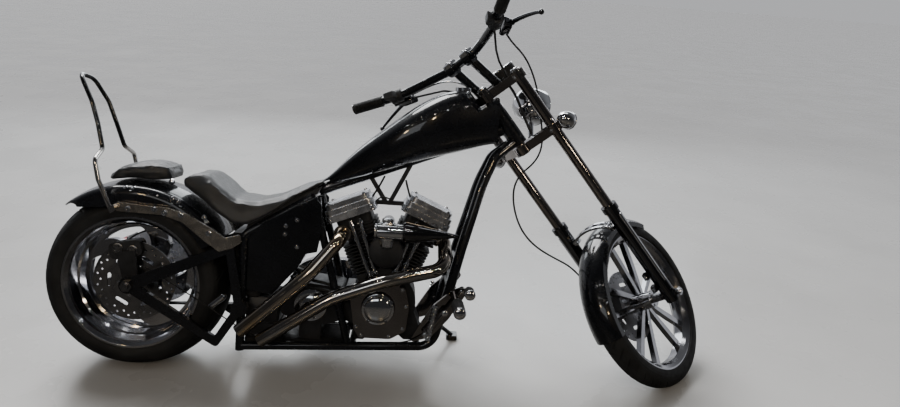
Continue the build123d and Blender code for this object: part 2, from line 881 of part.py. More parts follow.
# Rocker boxes in three stacked layers
# columns: step above the head, height, half length, right edge, left edge
rocker_layers = ((0, 26, 96, -106, 76), (26, 20, 92, -102, 72), (46, 20, 84, -94, 64))
with BuildPart() as rocker_boxes:
    for angle in (-v_half, v_half):
        for step, height, long_half, right, left in rocker_layers:
            with BuildSketch(bank(angle, head_top + step)):
                with Locations((0, (left + right) / 2)):
                    RectangleRounded(2 * long_half, left - right, 26)
            extrude(amount=height)
keep(rocker_boxes, "rocker_boxes", frame_placed)

# Top mount: a bridge between the rocker boxes and two legs up to the backbone
with BuildPart() as top_mount:
    with BuildSketch(side_plane(10)):
        link((888, 672), (822, 770), 8, 8)
        link((906, 672), (980, 830), 8, 8)
        with Locations((905, 668)):
            Rectangle(130, 16)
    extrude(amount=20)
    clear(frame_neck, rocker_boxes, cylinders)
keep(top_mount, "top_mount", frame_placed)

# Cam cover with its round boss, and the tappet blocks above it
cam_side = [(780, 345), (806, 368), (985, 372), (1004, 300), (996, 206), (940, 172), (824, 172), (804, 205)]
with BuildPart() as cam_cover:
    with BuildSketch(side_plane(case_right)):
        outline(cam_side, 16)
    extrude(amount=42)
    with BuildSketch(side_plane(case_right - 42)):
        with Locations((889, 289)):
            Circle(63)
    extrude(amount=18, taper=12)
    for block_x, tilt in ((866, -v_half), (944, v_half)):
        with Locations(Plane(origin=(block_x, -100, 366), z_dir=(sin(radians(tilt)), 0, cos(radians(tilt))))):
            Box(30, 42, 44, align=(Align.CENTER, Align.CENTER, Align.MIN))
keep(cam_cover, "cam_cover", frame_placed)

# Pushrod tubes, two to each head
# columns: foot x, foot z, head x, head z
pushrods = ((850, 405, 766, 603), (872, 410, 798, 616), (938, 410, 1012, 616), (960, 405, 1044, 603))
pushrod_y = -96
with BuildPart() as pushrod_tubes:
    for foot_x, foot_z, head_x, head_z in pushrods:
        rod((foot_x, pushrod_y - 2, foot_z), (head_x, pushrod_y + 8, head_z), 8)
    clear(cam_cover, rocker_boxes, cylinders)
keep(pushrod_tubes, "pushrod_tubes", frame_placed)

# Intake: manifold between the heads, the round chamber on the right and the flange for the cleaner
intake_at = (905, 586)
with BuildPart() as intake:
    rod((intake_at[0], 60, intake_at[1]), (intake_at[0], -130, intake_at[1]), 24)
    rod((intake_at[0], -118, intake_at[1]), (intake_at[0], -172, intake_at[1]), 36)
    rod((intake_at[0] - 34, -168, intake_at[1]), (intake_at[0] + 56, -168, intake_at[1]), 28)
keep(intake, "intake", frame_placed)

# Air cleaner: a pointed cone facing forward
cone_back = intake_at[0] + 56
cone_long = 198
cone_half = 40
cone_tip = 5
with BuildPart() as air_cleaner:
    with BuildSketch(Plane(origin=(cone_back, -168, intake_at[1]), x_dir=(1, 0, 0), z_dir=(0, -1, 0))):
        with BuildLine():
            Polyline((cone_long, cone_tip), (cone_long, 0), (0, 0), (0, cone_half - 6), (8, cone_half))
            ThreePointArc((8, cone_half), (cone_long / 2, cone_half * 0.62), (cone_long, cone_tip))
        make_face()
    revolve(axis=Axis((cone_back, -168, intake_at[1]), (1, 0, 0)))
keep(air_cleaner, "air_cleaner", frame_placed)


# Exhaust pipes: each leaves its head, bends down and sweeps back along the right side
def pipe(points, bends):
    """Pipe along a route, hollow at its tail; returns the mouth and the way out of it."""
    tube(points, bends, pipe_radius)
    last, before = Vector(*points[-1]), Vector(*points[-2])
    out = (last - before).normalized()
    rod(last - out * mouth_depth, last + out * 2, pipe_radius - pipe_wall, mode=Mode.SUBTRACT)
    cut = last - out * mouth_trim
    split(bisect_by=Plane(origin=cut, z_dir=-out), keep=Keep.TOP)
    return cut, out


port_out = bank(v_half, 304).x_dir
port_low = Vector(port_out.X, 0, port_out.Z)
front_port = Vector(*bank(v_half, 304).origin) + port_low * (fin_long + 4.4) + Vector(0, -42, 0)
with BuildPart() as front_exhaust:
    front_mouth = pipe(
        [
            front_port,
            front_port + port_low * 27 + Vector(0, -14, 0),
            (1122, -162, 462),
            (905, -186, 408),
            (720, -192, 336),
            (462, -198, 158),
        ],
        [26, 60, 500, 420],
    )
    rod(front_port, front_port + port_low * 9, pipe_radius + 7)
    clear(cylinders)
keep(front_exhaust, "front_exhaust", frame_placed)

rear_port = Vector(740, -fin_half - 2.4, 552)
with BuildPart() as rear_exhaust:
    rear_mouth = pipe([rear_port, (738, -158, 542), (640, -190, 420), (392, -204, 188)], [46, 160])
    rod(rear_port, rear_port + Vector(0, -9, 0), pipe_radius + 7)
    clear(cylinders)
keep(rear_exhaust, "rear_exhaust", frame_placed)

# Rear caliper over the disc, on a stay from the axle boss
caliper_plate = rear_disc_face - disc_thick / 2
with BuildPart() as rear_caliper:
    with BuildSketch(side_plane(caliper_plate + 27)):
        with Locations(Location((0, axle_height), 12)):
            with Locations((0, 122)):
                RectangleRounded(112, 58, 16)
    extrude(amount=54)
    with BuildSketch(side_plane(caliper_plate + disc_thick / 2 + pad_gap)):
        with Locations((0, axle_height)):
            Circle(disc_radius + pad_gap)
    extrude(amount=disc_thick + 2 * pad_gap, mode=Mode.SUBTRACT)
    with BuildSketch(side_plane(caliper_plate - 27)):
        link((0, axle_height), (-20, axle_height + 116), 26, 34)
        with Locations((0, axle_height)):
            Circle(30)
            Circle(20.5, mode=Mode.SUBTRACT)
    extrude(amount=10)
keep(rear_caliper, "rear_caliper", frame_placed)


# Forward controls: a bracket on each downtube with a master cylinder, pedal and footrest
def controls(side):
    """Bracket, lever and peg on one side; side is -1 for the right."""
    inner = 129
    with BuildSketch(side_plane(-inner if side < 0 else inner + 14)) as plate:
        outline(
            [(1010, 172), (1090, 196), (1150, 268), (1212, 372), (1196, 396), (1150, 372), (1092, 318), (1040, 232)],
            8,
        )
    extrude(plate.sketch, amount=14)
    rod((1112, side * 124, 262), (1112, side * (inner + 2), 262), 14)
    rod((1172, side * 140, 350), (1172, side * 216, 350), 14)
    rod((1172, side * 216, 350), (1172, side * 334, 350), 20)
    rod((1068, side * 160, 214), (1132, side * 160, 300), 15)
    rod((1132, side * 160, 300), (1190, side * 160, 384), 7)
    rod((1190, side * 140, 384), (1204, side * 262, 412), 7)
    rod((1204, side * 262, 412), (1204, side * 318, 412), 17 if side < 0 else 13)
    clear(frame_downtubes, frame_rails)


with BuildPart() as right_controls:
    controls(-1)
keep(right_controls, "right_controls", frame_placed)

with BuildPart() as left_controls:
    controls(1)
keep(left_controls, "left_controls", frame_placed)

# Finned regulator between the downtubes
with BuildPart() as regulator:
    with BuildSketch(across(1146, 0, 372)):
        RectangleRounded(96, 84, 6)
    extrude(amount=10)
    for fin_level in range(6):
        with BuildSketch(across(1156, 0, 335 + fin_level * 14.5)):
            Rectangle(92, 5)
        extrude(amount=22)
    rod((1146, -90, 372), (1146, 90, 372), 9)
    clear(frame_downtubes)
keep(regulator, "regulator", frame_placed)

# Steering trees: two bridges on one stem, with a clamp for each fork tube
with BuildPart() as fork_trees:
    for level in (lower_tree, upper_tree):
        with BuildSketch(Plane(origin=(-fork_offset, 0, level - tree_thick / 2))):
            tree_plan()
            with Locations((fork_offset, -fork_half), (fork_offset, fork_half)):
                Circle(tube_radius, mode=Mode.SUBTRACT)
        extrude(amount=tree_thick)
    rod((-fork_offset, 0, lower_tree - 22), (-fork_offset, 0, upper_tree + 30), stem_radius)
keep(fork_trees, "fork_trees", steering_placed)

with BuildPart() as fork_tubes:
    for side in (-1, 1):
        rod((0, side * fork_half, slider_high - 30), (0, side * fork_half, tube_top), tube_radius)
keep(fork_tubes, "fork_tubes", steering_placed)

with BuildPart() as fork_sliders:
    for side in (-1, 1):
        y = side * fork_half
        rod((0, y, slider_low), (0, y, slider_high), slider_radius)
        rod((0, y, slider_high - 26), (0, y, slider_high), slider_radius + 5)
        rod((0, y, slider_high - 40), (0, y, slider_high + 40), tube_radius, mode=Mode.SUBTRACT)
        rod((0, y - 34, 0), (0, y + 34, 0), 17)
        rod((0, y - 60, 0), (0, y + 60, 0), axle_radius, mode=Mode.SUBTRACT)
        with Locations((-34, y - side * 20, 120), (-34, y - side * 20, 60)):
            Box(22, 18, 26)
keep(fork_sliders, "fork_sliders", steering_placed)

with BuildPart() as front_axle:
    rod((0, -fork_half - 46, 0), (0, fork_half + 46, 0), axle_radius)
    for way in (-1, 1):
        inner_face = front_hub_half + 1 + (disc_thick + 5 if way > 0 else 0)
        rod((0, way * inner_face, 0), (0, way * (fork_half - 34), 0), 17)
keep(front_axle, "front_axle", steering_placed)

# Handlebar on two tall risers, swept back to the grips
bar_points = [
    (-74, 1200, 0),
    (-76, 1201, 70),
    (-98, 1215, 150),
    (-140, 1232, 238),
    (-180, 1256, 312),
    (-230, 1298, 420),
]
riser_half = 45
handlebar_radius = 16
with BuildPart() as risers:
    for side in (-1, 1):
        rod((-22, side * riser_half, upper_tree + tree_thick / 2), (-72, side * riser_half, 1190), 17)
        with Locations(Plane(origin=(-75, side * riser_half, 1200), z_dir=(0, 1, 0))):
            Cylinder(27, 34)
            Cylinder(handlebar_radius, 60, mode=Mode.SUBTRACT)
    clear(fork_trees)
keep(risers, "risers", steering_placed)

with BuildPart() as handlebar:
    right_half = [(x, -y, z) for x, z, y in bar_points[:0:-1]]
    left_half = [(x, y, z) for x, z, y in bar_points[1:]]
    tube(right_half + left_half, [60, 90, 70, 70, 70, 70, 90, 60], handlebar_radius)
keep(handlebar, "handlebar", steering_placed)

# Rubber grips over the bar's ends
grip_radius = 21
with BuildPart() as grips:
    for side in (-1, 1):
        inner_end = Vector(-186, side * 325, 1261)
        outer_end = Vector(-230, side * 420, 1298)
        along = (outer_end - inner_end).normalized()
        rod(inner_end, outer_end + along * 14, grip_radius)
    clear(handlebar)
keep(grips, "grips", steering_placed)

# Switch housings, master cylinders and levers
bar_hold = (-160, 275, 1243)
with BuildPart() as bar_controls:
    for side in (-1, 1):
        hold = Vector(bar_hold[0], side * bar_hold[1], bar_hold[2])
        along = (Vector(-180, side * 312, 1256) - Vector(-140, side * 238, 1232)).normalized()
        rod(hold - along * 24, hold + along * 24, 25)
        with Locations(Plane(origin=hold + Vector(38, 0, -34), x_dir=along, z_dir=(0.76, 0, -0.65))):
            Box(62, 30, 40)
        with Locations(Plane(origin=hold - Vector(26, 0, -14), x_dir=along, z_dir=(0.76, 0, -0.65))):
            Box(44, 34, 34)
        pivot = hold + Vector(46, side * 20, -36)
        knee = hold + Vector(12, side * 100, -52)
        tip = hold + Vector(-8, side * 160, -66)
        rod(pivot, knee, 6)
        rod(knee, tip, 6)
        with Locations(knee):
            Sphere(6)
        with Locations(tip):
            Sphere(9)
    clear(handlebar)
keep(bar_controls, "bar_controls", steering_placed)

# Gauge: a round cup ahead of the upper tree
gauge_at = (112, 0, 1092)
with BuildPart() as gauge:
    with Locations(gauge_at):
        Cylinder(58, 34, align=(Align.CENTER, Align.CENTER, Align.MAX))
    with BuildSketch(Plane.XY.offset(gauge_at[2] - 34)):
        with Locations((gauge_at[0], 0)):
            Circle(57)
    extrude(amount=-30, taper=24)
    with BuildSketch(Plane.XY.offset(upper_tree + tree_thick / 2)):
        with Locations((40, 0)):
            Rectangle(100, 40)
    extrude(amount=6)
keep(gauge, "gauge", steering_placed)

# Headlamp between the trees, level when the machine is upright
lamp_way = (cos(radians(rake)), 0, -sin(radians(rake)))
lamp_centre = Vector(150, 0, 900)
with BuildPart() as headlamp:
    with BuildSketch(Plane(origin=lamp_centre, x_dir=(0, 1, 0), z_dir=lamp_way)):
        Circle(73)
    extrude(amount=36)
    with BuildSketch(Plane(origin=lamp_centre, x_dir=(0, 1, 0), z_dir=lamp_way)):
        Circle(72)
    extrude(amount=-70, taper=22)
    rod((20, 0, lower_tree + 6), lamp_centre, 11)
keep(headlamp, "headlamp", steering_placed)

# Bullet turn signals on stalks outside the lower tree
with BuildPart() as turn_signals:
    for side in (-1, 1):
        rod((0, side * (fork_half + tube_radius + 8), lower_tree), (0, side * 176, lower_tree + 4), 7)
        with BuildSketch(Plane(origin=(0, side * 184, lower_tree + 6), x_dir=(0, 1, 0), z_dir=lamp_way)):
            Circle(33)
        extrude(amount=26)
        with BuildSketch(Plane(origin=(0, side * 184, lower_tree + 6), x_dir=(0, 1, 0), z_dir=lamp_way)):
            Circle(33)
        extrude(amount=-36, taper=30)
    clear(fork_trees)
keep(turn_signals, "turn_signals", steering_placed)

# Front fender, from over the tyre down behind it
front_fender_inner = front_radius + 9
front_fender_half = 59
fender_from = 169
fender_to = 40
with BuildPart() as front_fender:
    spoke = polar(1, fender_from)
    with BuildSketch(Plane(origin=(0, 0, 0), x_dir=(0, 1, 0), z_dir=(spoke[1], 0, -spoke[0]))):
        for grow, mode in ((4, Mode.ADD), (0, Mode.SUBTRACT)):
            high = front_fender_inner + grow
            half = front_fender_half - 4 + grow
            with BuildLine():
                over = ThreePointArc((-half, high - 30), (0, high), (half, high - 30))
                Polyline(over @ 1, (half, high - 46 - grow), (-half, high - 46 - grow), over @ 0)
            make_face(mode=mode)
    revolve(axis=Axis.Y, revolution_arc=fender_from - fender_to)
keep(front_fender, "front_fender", steering_placed)

# Fork brace: an arch over the fender with slots through its crown
# columns: y, height above the fender's inside
brace_left = [(-54, 42), (-80, 28), (-84, -10), (-99, -10), (-99, 42), (-62, 60)]
with BuildPart() as fork_brace:
    with BuildSketch(across(-20, 0, front_fender_inner)):
        outline(brace_left + [(-y, z) for y, z in reversed(brace_left)], 7)
    extrude(amount=40)
    with BuildSketch(Plane.XY.offset(front_fender_inner + 30)):
        with GridLocations(0, 38, 1, 3):
            SlotOverall(26, 12, mode=Mode.ADD)
    extrude(amount=60, mode=Mode.SUBTRACT)
    for way in (-1, 1):
        with Locations((0, way * 61, front_fender_inner + 12)):
            Box(30, 46, 10)
    clear(fork_sliders)
keep(fork_brace, "fork_brace", steering_placed)

# Front caliper on the left leg
front_plate = front_disc_face + disc_thick / 2
with BuildPart() as front_caliper:
    with BuildSketch(side_plane(front_plate + 26)):
        with Locations(Location((0, 0), 56)):
            with Locations((0, 124)):
                RectangleRounded(104, 54, 15)
    extrude(amount=52)
    with BuildSketch(side_plane(front_plate + disc_thick / 2 + pad_gap)):
        Circle(disc_radius + pad_gap)
    extrude(amount=disc_thick + 2 * pad_gap, mode=Mode.SUBTRACT)
    with BuildSketch(side_plane(front_plate + 36)):
        outline([(-30, 40), (-30, 135), (-120, 120), (-132, 60), (-90, 30)], 10)
    extrude(amount=10)
    clear(fork_sliders)
keep(front_caliper, "front_caliper", steering_placed)

# Front tyre, round in section
bead = sqrt(front_section**2 - (front_radius - front_section - front_flange) ** 2)
with BuildPart() as front_tyre:
    with BuildSketch(Plane.YZ):
        with BuildLine():
            round_over = ThreePointArc((-bead, front_flange), (0, front_radius), (bead, front_flange))
            Polyline(
                round_over @ 1,
                (front_rim_half - front_lip, front_flange),
                (front_rim_half - front_lip, front_well),
                (-front_rim_half + front_lip, front_well),
                (-front_rim_half + front_lip, front_flange),
                round_over @ 0,
            )
        make_face()
    revolve(axis=Axis.Y)
keep(front_tyre, "front_tyre", steering_placed)

# Front rim with five split spokes
# columns: half width of a step, its depth in from the flange
front_rim_steps = ((38, 7), (30, 19), (18, 29))
spoke_foot = front_hub - 8
spoke_middle = front_flange / 2
spoke_tip = front_flange - 25
with BuildPart() as front_rim:
    with BuildSketch(Plane.YZ):
        with BuildLine():
            Polyline(
                (-front_rim_half, front_flange),
                (-front_rim_half + front_lip, front_flange),
                (-front_rim_half + front_lip, front_well),
                (front_rim_half - front_lip, front_well),
                (front_rim_half - front_lip, front_flange),
                (front_rim_half, front_flange),
                *[(half, front_flange - depth) for half, depth in front_rim_steps],
                *[(-half, front_flange - depth) for half, depth in reversed(front_rim_steps)],
                close=True,
            )
        make_face()
    revolve(axis=Axis.Y)
    with BuildSketch(side_plane(0)):
        with PolarLocations(0, 5):
            for swing in (-1, 1):
                with BuildLine(mode=Mode.PRIVATE) as spoke_edge:
                    foot, middle, tip = swing * 24, swing * 13, swing * 12
                    lead = ThreePointArc(
                        polar(spoke_foot, foot - 9), polar(spoke_middle, middle - 5), polar(spoke_tip, tip - 2.6)
                    )
                    trail = ThreePointArc(
                        polar(spoke_tip, tip + 2.6), polar(spoke_middle, middle + 4), polar(spoke_foot, foot + 24)
                    )
                    Line(lead @ 1, trail @ 0)
                    Line(trail @ 1, lead @ 0)
                add(make_face(spoke_edge.line, mode=Mode.PRIVATE))
    extrude(amount=11, both=True)
    rod((0, -front_hub_half, 0), (0, front_disc_face, 0), front_hub)
    rod((0, -90, 0), (0, 90, 0), axle_radius + axle_bore_gap, mode=Mode.SUBTRACT)
keep(front_rim, "front_rim", steering_placed)

with BuildPart() as front_disc:
    with BuildSketch(side_plane(front_disc_face + disc_thick)):
        Circle(disc_radius)
        disc_cuts(28)
    extrude(amount=disc_thick)
keep(front_disc, "front_disc", steering_placed)

# Brake hose from the right master cylinder, past the stem, down to the front caliper
hose_radius = 3.5
hose_route = [
    (-116, -254, 1205),
    (-72, -226, 1180),
    (-20, -196, 1140),
    (42, -168, 1104),
    (92, -138, 1056),
    (106, -116, 1000),
    (92, -100, 942),
    (60, -88, 888),
    (32, -68, 834),
    (18, -44, 782),
    (-24, -22, 744),
    (-90, -6, 734),
    (-168, 6, 744),
    (-244, 16, 724),
    (-296, 26, 664),
    (-312, 40, 594),
    (-296, 50, 522),
    (-252, 60, 450),
    (-194, 70, 376),
    (-140, 82, 310),
    (-120, 90, 244),
    (-112, 90, 178),
]
with BuildPart() as brake_hose:
    tube(hose_route, 30, hose_radius)
    clear(bar_controls)
keep(brake_hose, "brake_hose", steering_placed)

# Control cables from the switch housings down to the upper tree
# columns: the points of one cable, from its housing to its clip on the tree
cable_routes = (
    [(-150, -248, 1226), (-130, -212, 1192), (-92, -168, 1162), (-48, -124, 1124), (-14, -92, 1058)],
    [(-124, 254, 1206), (-84, 208, 1180), (-48, 160, 1154), (-28, 120, 1116), (-20, 92, 1058)],
)
with BuildPart() as control_cables:
    for route in cable_routes:
        tube(route, 40, 4)
    clear(bar_controls, handlebar, risers, fork_trees)
keep(control_cables, "control_cables", steering_placed)

# Side stand, drawn on the floor: a pivot on the left rail, a leg and a foot flat on the ground
stand_pivot = (frame_placed * Location((1106, 140, 176))).position
stand_foot = Vector(1198, 254, 0)
with BuildPart() as side_stand:
    foot_top = stand_foot + Vector(0, 0, 16)
    rod(stand_pivot, foot_top, 9)
    rod(stand_pivot - Vector(0, 14, 0), stand_pivot + Vector(0, 12, 0), 16)
    with BuildSketch(Plane.XY):
        with Locations((stand_foot.X, stand_foot.Y)):
            RectangleRounded(46, 44, 8)
    extrude(amount=22)
keep(side_stand, "side_stand", Location((0, 0, 0)))

# The whole machine stands centred over the origin
for builder, name, placed in pieces:
    builder.part.move(placed)
boxes = [builder.part.bounding_box() for builder, name, placed in pieces]
middle_x = (min(box.min.X for box in boxes) + max(box.max.X for box in boxes)) / 2
middle_y = (min(box.min.Y for box in boxes) + max(box.max.Y for box in boxes)) / 2
centred = Location((-middle_x, -middle_y, 0))
os.makedirs("parts", exist_ok=True)
for builder, name, placed in pieces:
    builder.part.move(centred)
    export_step(builder.part, f"parts/{name}.step")


def told(name, place):
    at = centred * place
    point, tip = at.position, (at * Location((0, 0, 1))).position
    print(name, *(round(value, 4) for value in (*point, *(tip - point))))


def mouth(placed, point, way):
    return placed * Location(Plane(origin=point, z_dir=way))


told("plate", mouth(frame_placed, plate_at, (-1, 0, 0)))
for (place, way), name in ((front_mouth, "front_outlet"), (rear_mouth, "rear_outlet")):
    told(name, mouth(frame_placed, place, way))
told("stand_pivot", Location(stand_pivot))
told("stand_foot", Location(stand_foot))
told("steering", steering_placed * Location((-fork_offset, 0, lower_tree)))
told("front_axle", steering_placed * Location((0, 0, 0), (-90, 0, 0)))
told("rear_axle", rear_wheel_placed * Location((0, 0, 0), (-90, 0, 0)))
print("pieces", len(pieces), "pitch", round(pitch, 3), "centre", round(middle_x, 2), round(middle_y, 2))
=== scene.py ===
import json
from math import atan2, cos, hypot, pi, radians, sin, sqrt
import bpy
import bmesh
from mathutils import Matrix, Vector


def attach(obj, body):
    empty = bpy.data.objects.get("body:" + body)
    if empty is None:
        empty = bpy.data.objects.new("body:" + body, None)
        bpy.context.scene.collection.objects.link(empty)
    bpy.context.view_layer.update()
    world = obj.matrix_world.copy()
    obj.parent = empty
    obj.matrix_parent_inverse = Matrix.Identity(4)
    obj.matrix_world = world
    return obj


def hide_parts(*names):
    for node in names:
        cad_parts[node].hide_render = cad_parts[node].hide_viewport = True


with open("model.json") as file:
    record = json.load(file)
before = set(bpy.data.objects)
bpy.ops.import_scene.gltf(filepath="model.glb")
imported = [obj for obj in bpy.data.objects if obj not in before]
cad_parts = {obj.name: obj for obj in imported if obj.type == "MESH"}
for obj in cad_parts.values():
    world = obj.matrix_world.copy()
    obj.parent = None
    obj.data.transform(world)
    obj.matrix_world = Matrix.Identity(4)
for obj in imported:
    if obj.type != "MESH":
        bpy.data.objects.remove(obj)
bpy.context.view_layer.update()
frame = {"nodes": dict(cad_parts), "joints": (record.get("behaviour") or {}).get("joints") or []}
nodes = frame["nodes"]
joints = {joint["name"]: joint for joint in frame["joints"]}
sceneNow = bpy.context.scene
sides = (-1, 1)  # the rider's right and left
print("frame loaded with", len(nodes), "nodes")

# Drawing frames, in millimetres: the machine's from the floor under the rear axle, the fork's from its own
layout = {"rake": 40.5, "rearRadius": 328}


def directionOf(jointName):
    return Vector(joints[jointName]["axis"]).normalized()


def drawingFrame(origin, acrossWay, upWay):
    forwardWay = acrossWay.cross(upWay).normalized()
    axes = Matrix((forwardWay, acrossWay, upWay)).transposed().to_4x4()
    return Matrix.Translation(origin) @ axes @ Matrix.Scale(0.001, 4)


stemWay = directionOf("steering_turn")
axleWay = directionOf("rear_wheel_spin")
machineUp = Matrix.Rotation(radians(layout["rake"]), 3, axleWay) @ stemWay
rearAxle = Vector(joints["rear_wheel_spin"]["pos_m"])
machine = drawingFrame(rearAxle - machineUp * layout["rearRadius"] * 0.001, axleWay, machineUp)
rearHub = drawingFrame(rearAxle, axleWay, machineUp)
fork = drawingFrame(Vector(joints["front_wheel_spin"]["pos_m"]), directionOf("front_wheel_spin"), stemWay)
drawnIn = {"frame": machine, "rear_wheel": rearHub, "steering": fork, "front_wheel": fork}


def onSide(side, point):
    return Vector((point[0], side * point[1], point[2]))


def added(name, data):
    obj = bpy.data.objects.new(name, data)
    sceneNow.collection.objects.link(obj)
    return obj


# Camera at the photograph's viewing angle
cameraView = {
    "place": (0.006109, -2.382196, 1.441761),
    "yaw": -4.25,
    "pitch": 17.956,
    "roll": 4.328,
    "focalPixels": 668.6,
    "photoWidth": 900,
    "sensor": 36.0,
    "far": 900,
}


def makeCamera(values):
    camera = bpy.data.cameras.new("camera")
    camera.sensor_fit = "HORIZONTAL"
    camera.sensor_width = values["sensor"]
    camera.lens = values["sensor"] * values["focalPixels"] / values["photoWidth"]
    camera.clip_end = values["far"]
    facing = Matrix.Rotation(radians(values["yaw"]), 3, "Z") @ Matrix.Rotation(radians(-values["pitch"]), 3, "X")
    roll = radians(values["roll"])
    rightWay = facing @ Vector((cos(roll), 0, sin(roll)))
    upWay = facing @ Vector((-sin(roll), 0, cos(roll)))
    axes = Matrix((rightWay, upWay, rightWay.cross(upWay))).transposed().to_4x4()
    sceneNow.camera = added("camera", camera)
    sceneNow.camera.matrix_world = Matrix.Translation(values["place"]) @ axes


makeCamera(cameraView)


# Soft studio light: most of it from above and behind, a dim fill and small warm lamps on the camera's side
# columns: name, place, aimed at, width, height, watts, color
softBoxes = (
    ("overhead", (0.2, 1.2, 3.6), (0.0, 0.1, 0.5), 3.0, 0.5, 22, (0.97, 0.99, 1.0)),
    ("behind", (0.0, 4.2, 2.2), (0.0, 0.0, 0.6), 6.5, 1.4, 90, (0.92, 0.97, 1.0)),
    ("fill", (-1.4, -4.6, 2.8), (0.0, 0.0, 0.5), 2.6, 1.2, 14, (0.92, 0.96, 1.0)),
    ("warmLeft", (-2.6, -5.0, 3.4), (-0.6, 0.0, 0.4), 0.3, 0.3, 16, (1.0, 0.70, 0.36)),
    ("warmMiddle", (0.9, -5.4, 3.6), (0.1, 0.0, 0.4), 0.3, 0.3, 16, (1.0, 0.74, 0.42)),
    ("warmRight", (3.4, -3.6, 2.6), (0.5, 0.0, 0.4), 0.3, 0.4, 12, (1.0, 0.82, 0.6)),
)
sunLook = {"strength": 2.75, "spread": 34.0, "from": (-0.35, 0.75, 1.0)}

# Small ceiling lamps, whose pinpoint glints run over the tank and fenders
glintLook = {
    "rows": 2, "count": 5, "pitch": 1.1, "near": -1.9, "apart": 1.5, "height": 3.5, "stagger": 0.3,
    "watts": 7, "radius": 0.035, "colors": ((0.95, 0.98, 1.0), (1.0, 0.93, 0.82)),
}


def makeLights(boxes, glints, sun):
    for name, place, target, width, height, watts, color in boxes:
        light = bpy.data.lights.new(name, "AREA")
        light.shape = "RECTANGLE"
        light.size = width
        light.size_y = height
        light.energy = watts
        light.color = color
        obj = added(name, light)
        obj.location = place
        obj.rotation_euler = (Vector(target) - Vector(place)).to_track_quat("-Z", "Y").to_euler()
    for row in range(glints["rows"]):
        for index in range(glints["count"]):
            spot = bpy.data.lights.new("glint", "POINT")
            spot.energy = glints["watts"]
            spot.shadow_soft_size = glints["radius"]
            spot.color = glints["colors"][(row + index) % 2]
            across = (index - (glints["count"] - 1) / 2 + glints["stagger"] * row) * glints["pitch"]
            added("glint", spot).location = (across, glints["near"] - row * glints["apart"], glints["height"])
    lamp = bpy.data.lights.new("sun", "SUN")
    lamp.energy = sun["strength"]
    lamp.angle = radians(sun["spread"])
    added("sun", lamp).rotation_euler = Vector(sun["from"]).to_track_quat("Z", "Y").to_euler()


# One shader node: inputs take numbers, colors or another node's output
def shaderNode(tree, kind, inputs, output=0, **settings):
    node = tree.nodes.new("ShaderNode" + kind)
    for name, value in settings.items():
        setattr(node, name, value)
    for socket, value in inputs.items():
        if isinstance(value, bpy.types.NodeSocket):
            tree.links.new(value, node.inputs[socket])
        else:
            node.inputs[socket].default_value = value
    return node.outputs[output]


def colorRamp(tree, source, stops):
    node = tree.nodes.new("ShaderNodeValToRGB")
    elements = node.color_ramp.elements
    while len(elements) < len(stops):
        elements.new(0.5)
    for element, (spot, color) in zip(elements, stops):
        element.position = spot
        element.color = (*color, 1)
    tree.links.new(source, node.inputs["Fac"])
    return node.outputs["Color"]


# Sky: pale and cool behind the machine, a dark room on the camera's side, and a pale backdrop all round
# tones: height of the view direction from 0 down to 1 up, grey
skyLook = {
    "tones": ((0.0, 0.42), (0.5, 0.5), (0.53, 0.62), (0.6, 0.5), (0.66, 0.24), (0.8, 0.13), (1.0, 0.1)),
    "room": (0.024, 0.024, 0.025, 1),
    "backdrop": (0.5, 0.505, 0.52, 1),
    "edge": 0.35,
}


def makeSky(values):
    world = bpy.data.worlds.new("studio")
    sceneNow.world = world
    world.use_nodes = True
    tree = world.node_tree
    split = tree.nodes.new("ShaderNodeSeparateXYZ")
    tree.links.new(shaderNode(tree, "TexCoord", {}, "Generated"), split.inputs[0])
    height = shaderNode(tree, "MapRange", {"Value": split.outputs["Z"], "From Min": -1}, "Result")
    across = {"Value": split.outputs["Y"], "From Min": -values["edge"], "From Max": values["edge"]}
    side = shaderNode(tree, "MapRange", across, "Result", interpolation_type="SMOOTHSTEP")
    sky = colorRamp(tree, height, [(spot, (grey * 0.98, grey, grey * 1.06)) for spot, grey in values["tones"]])
    around = shaderNode(tree, "Mix", {0: side, 6: values["room"], 7: sky}, 2, data_type="RGBA")
    seen = shaderNode(tree, "LightPath", {}, "Is Camera Ray")
    shown = shaderNode(tree, "Mix", {0: seen, 6: around, 7: values["backdrop"]}, 2, data_type="RGBA")
    tree.links.new(shown, tree.nodes["Background"].inputs["Color"])


# Material helpers: each finish is one node tree around a Principled shader
black, white = (0, 0, 0), (1, 1, 1)


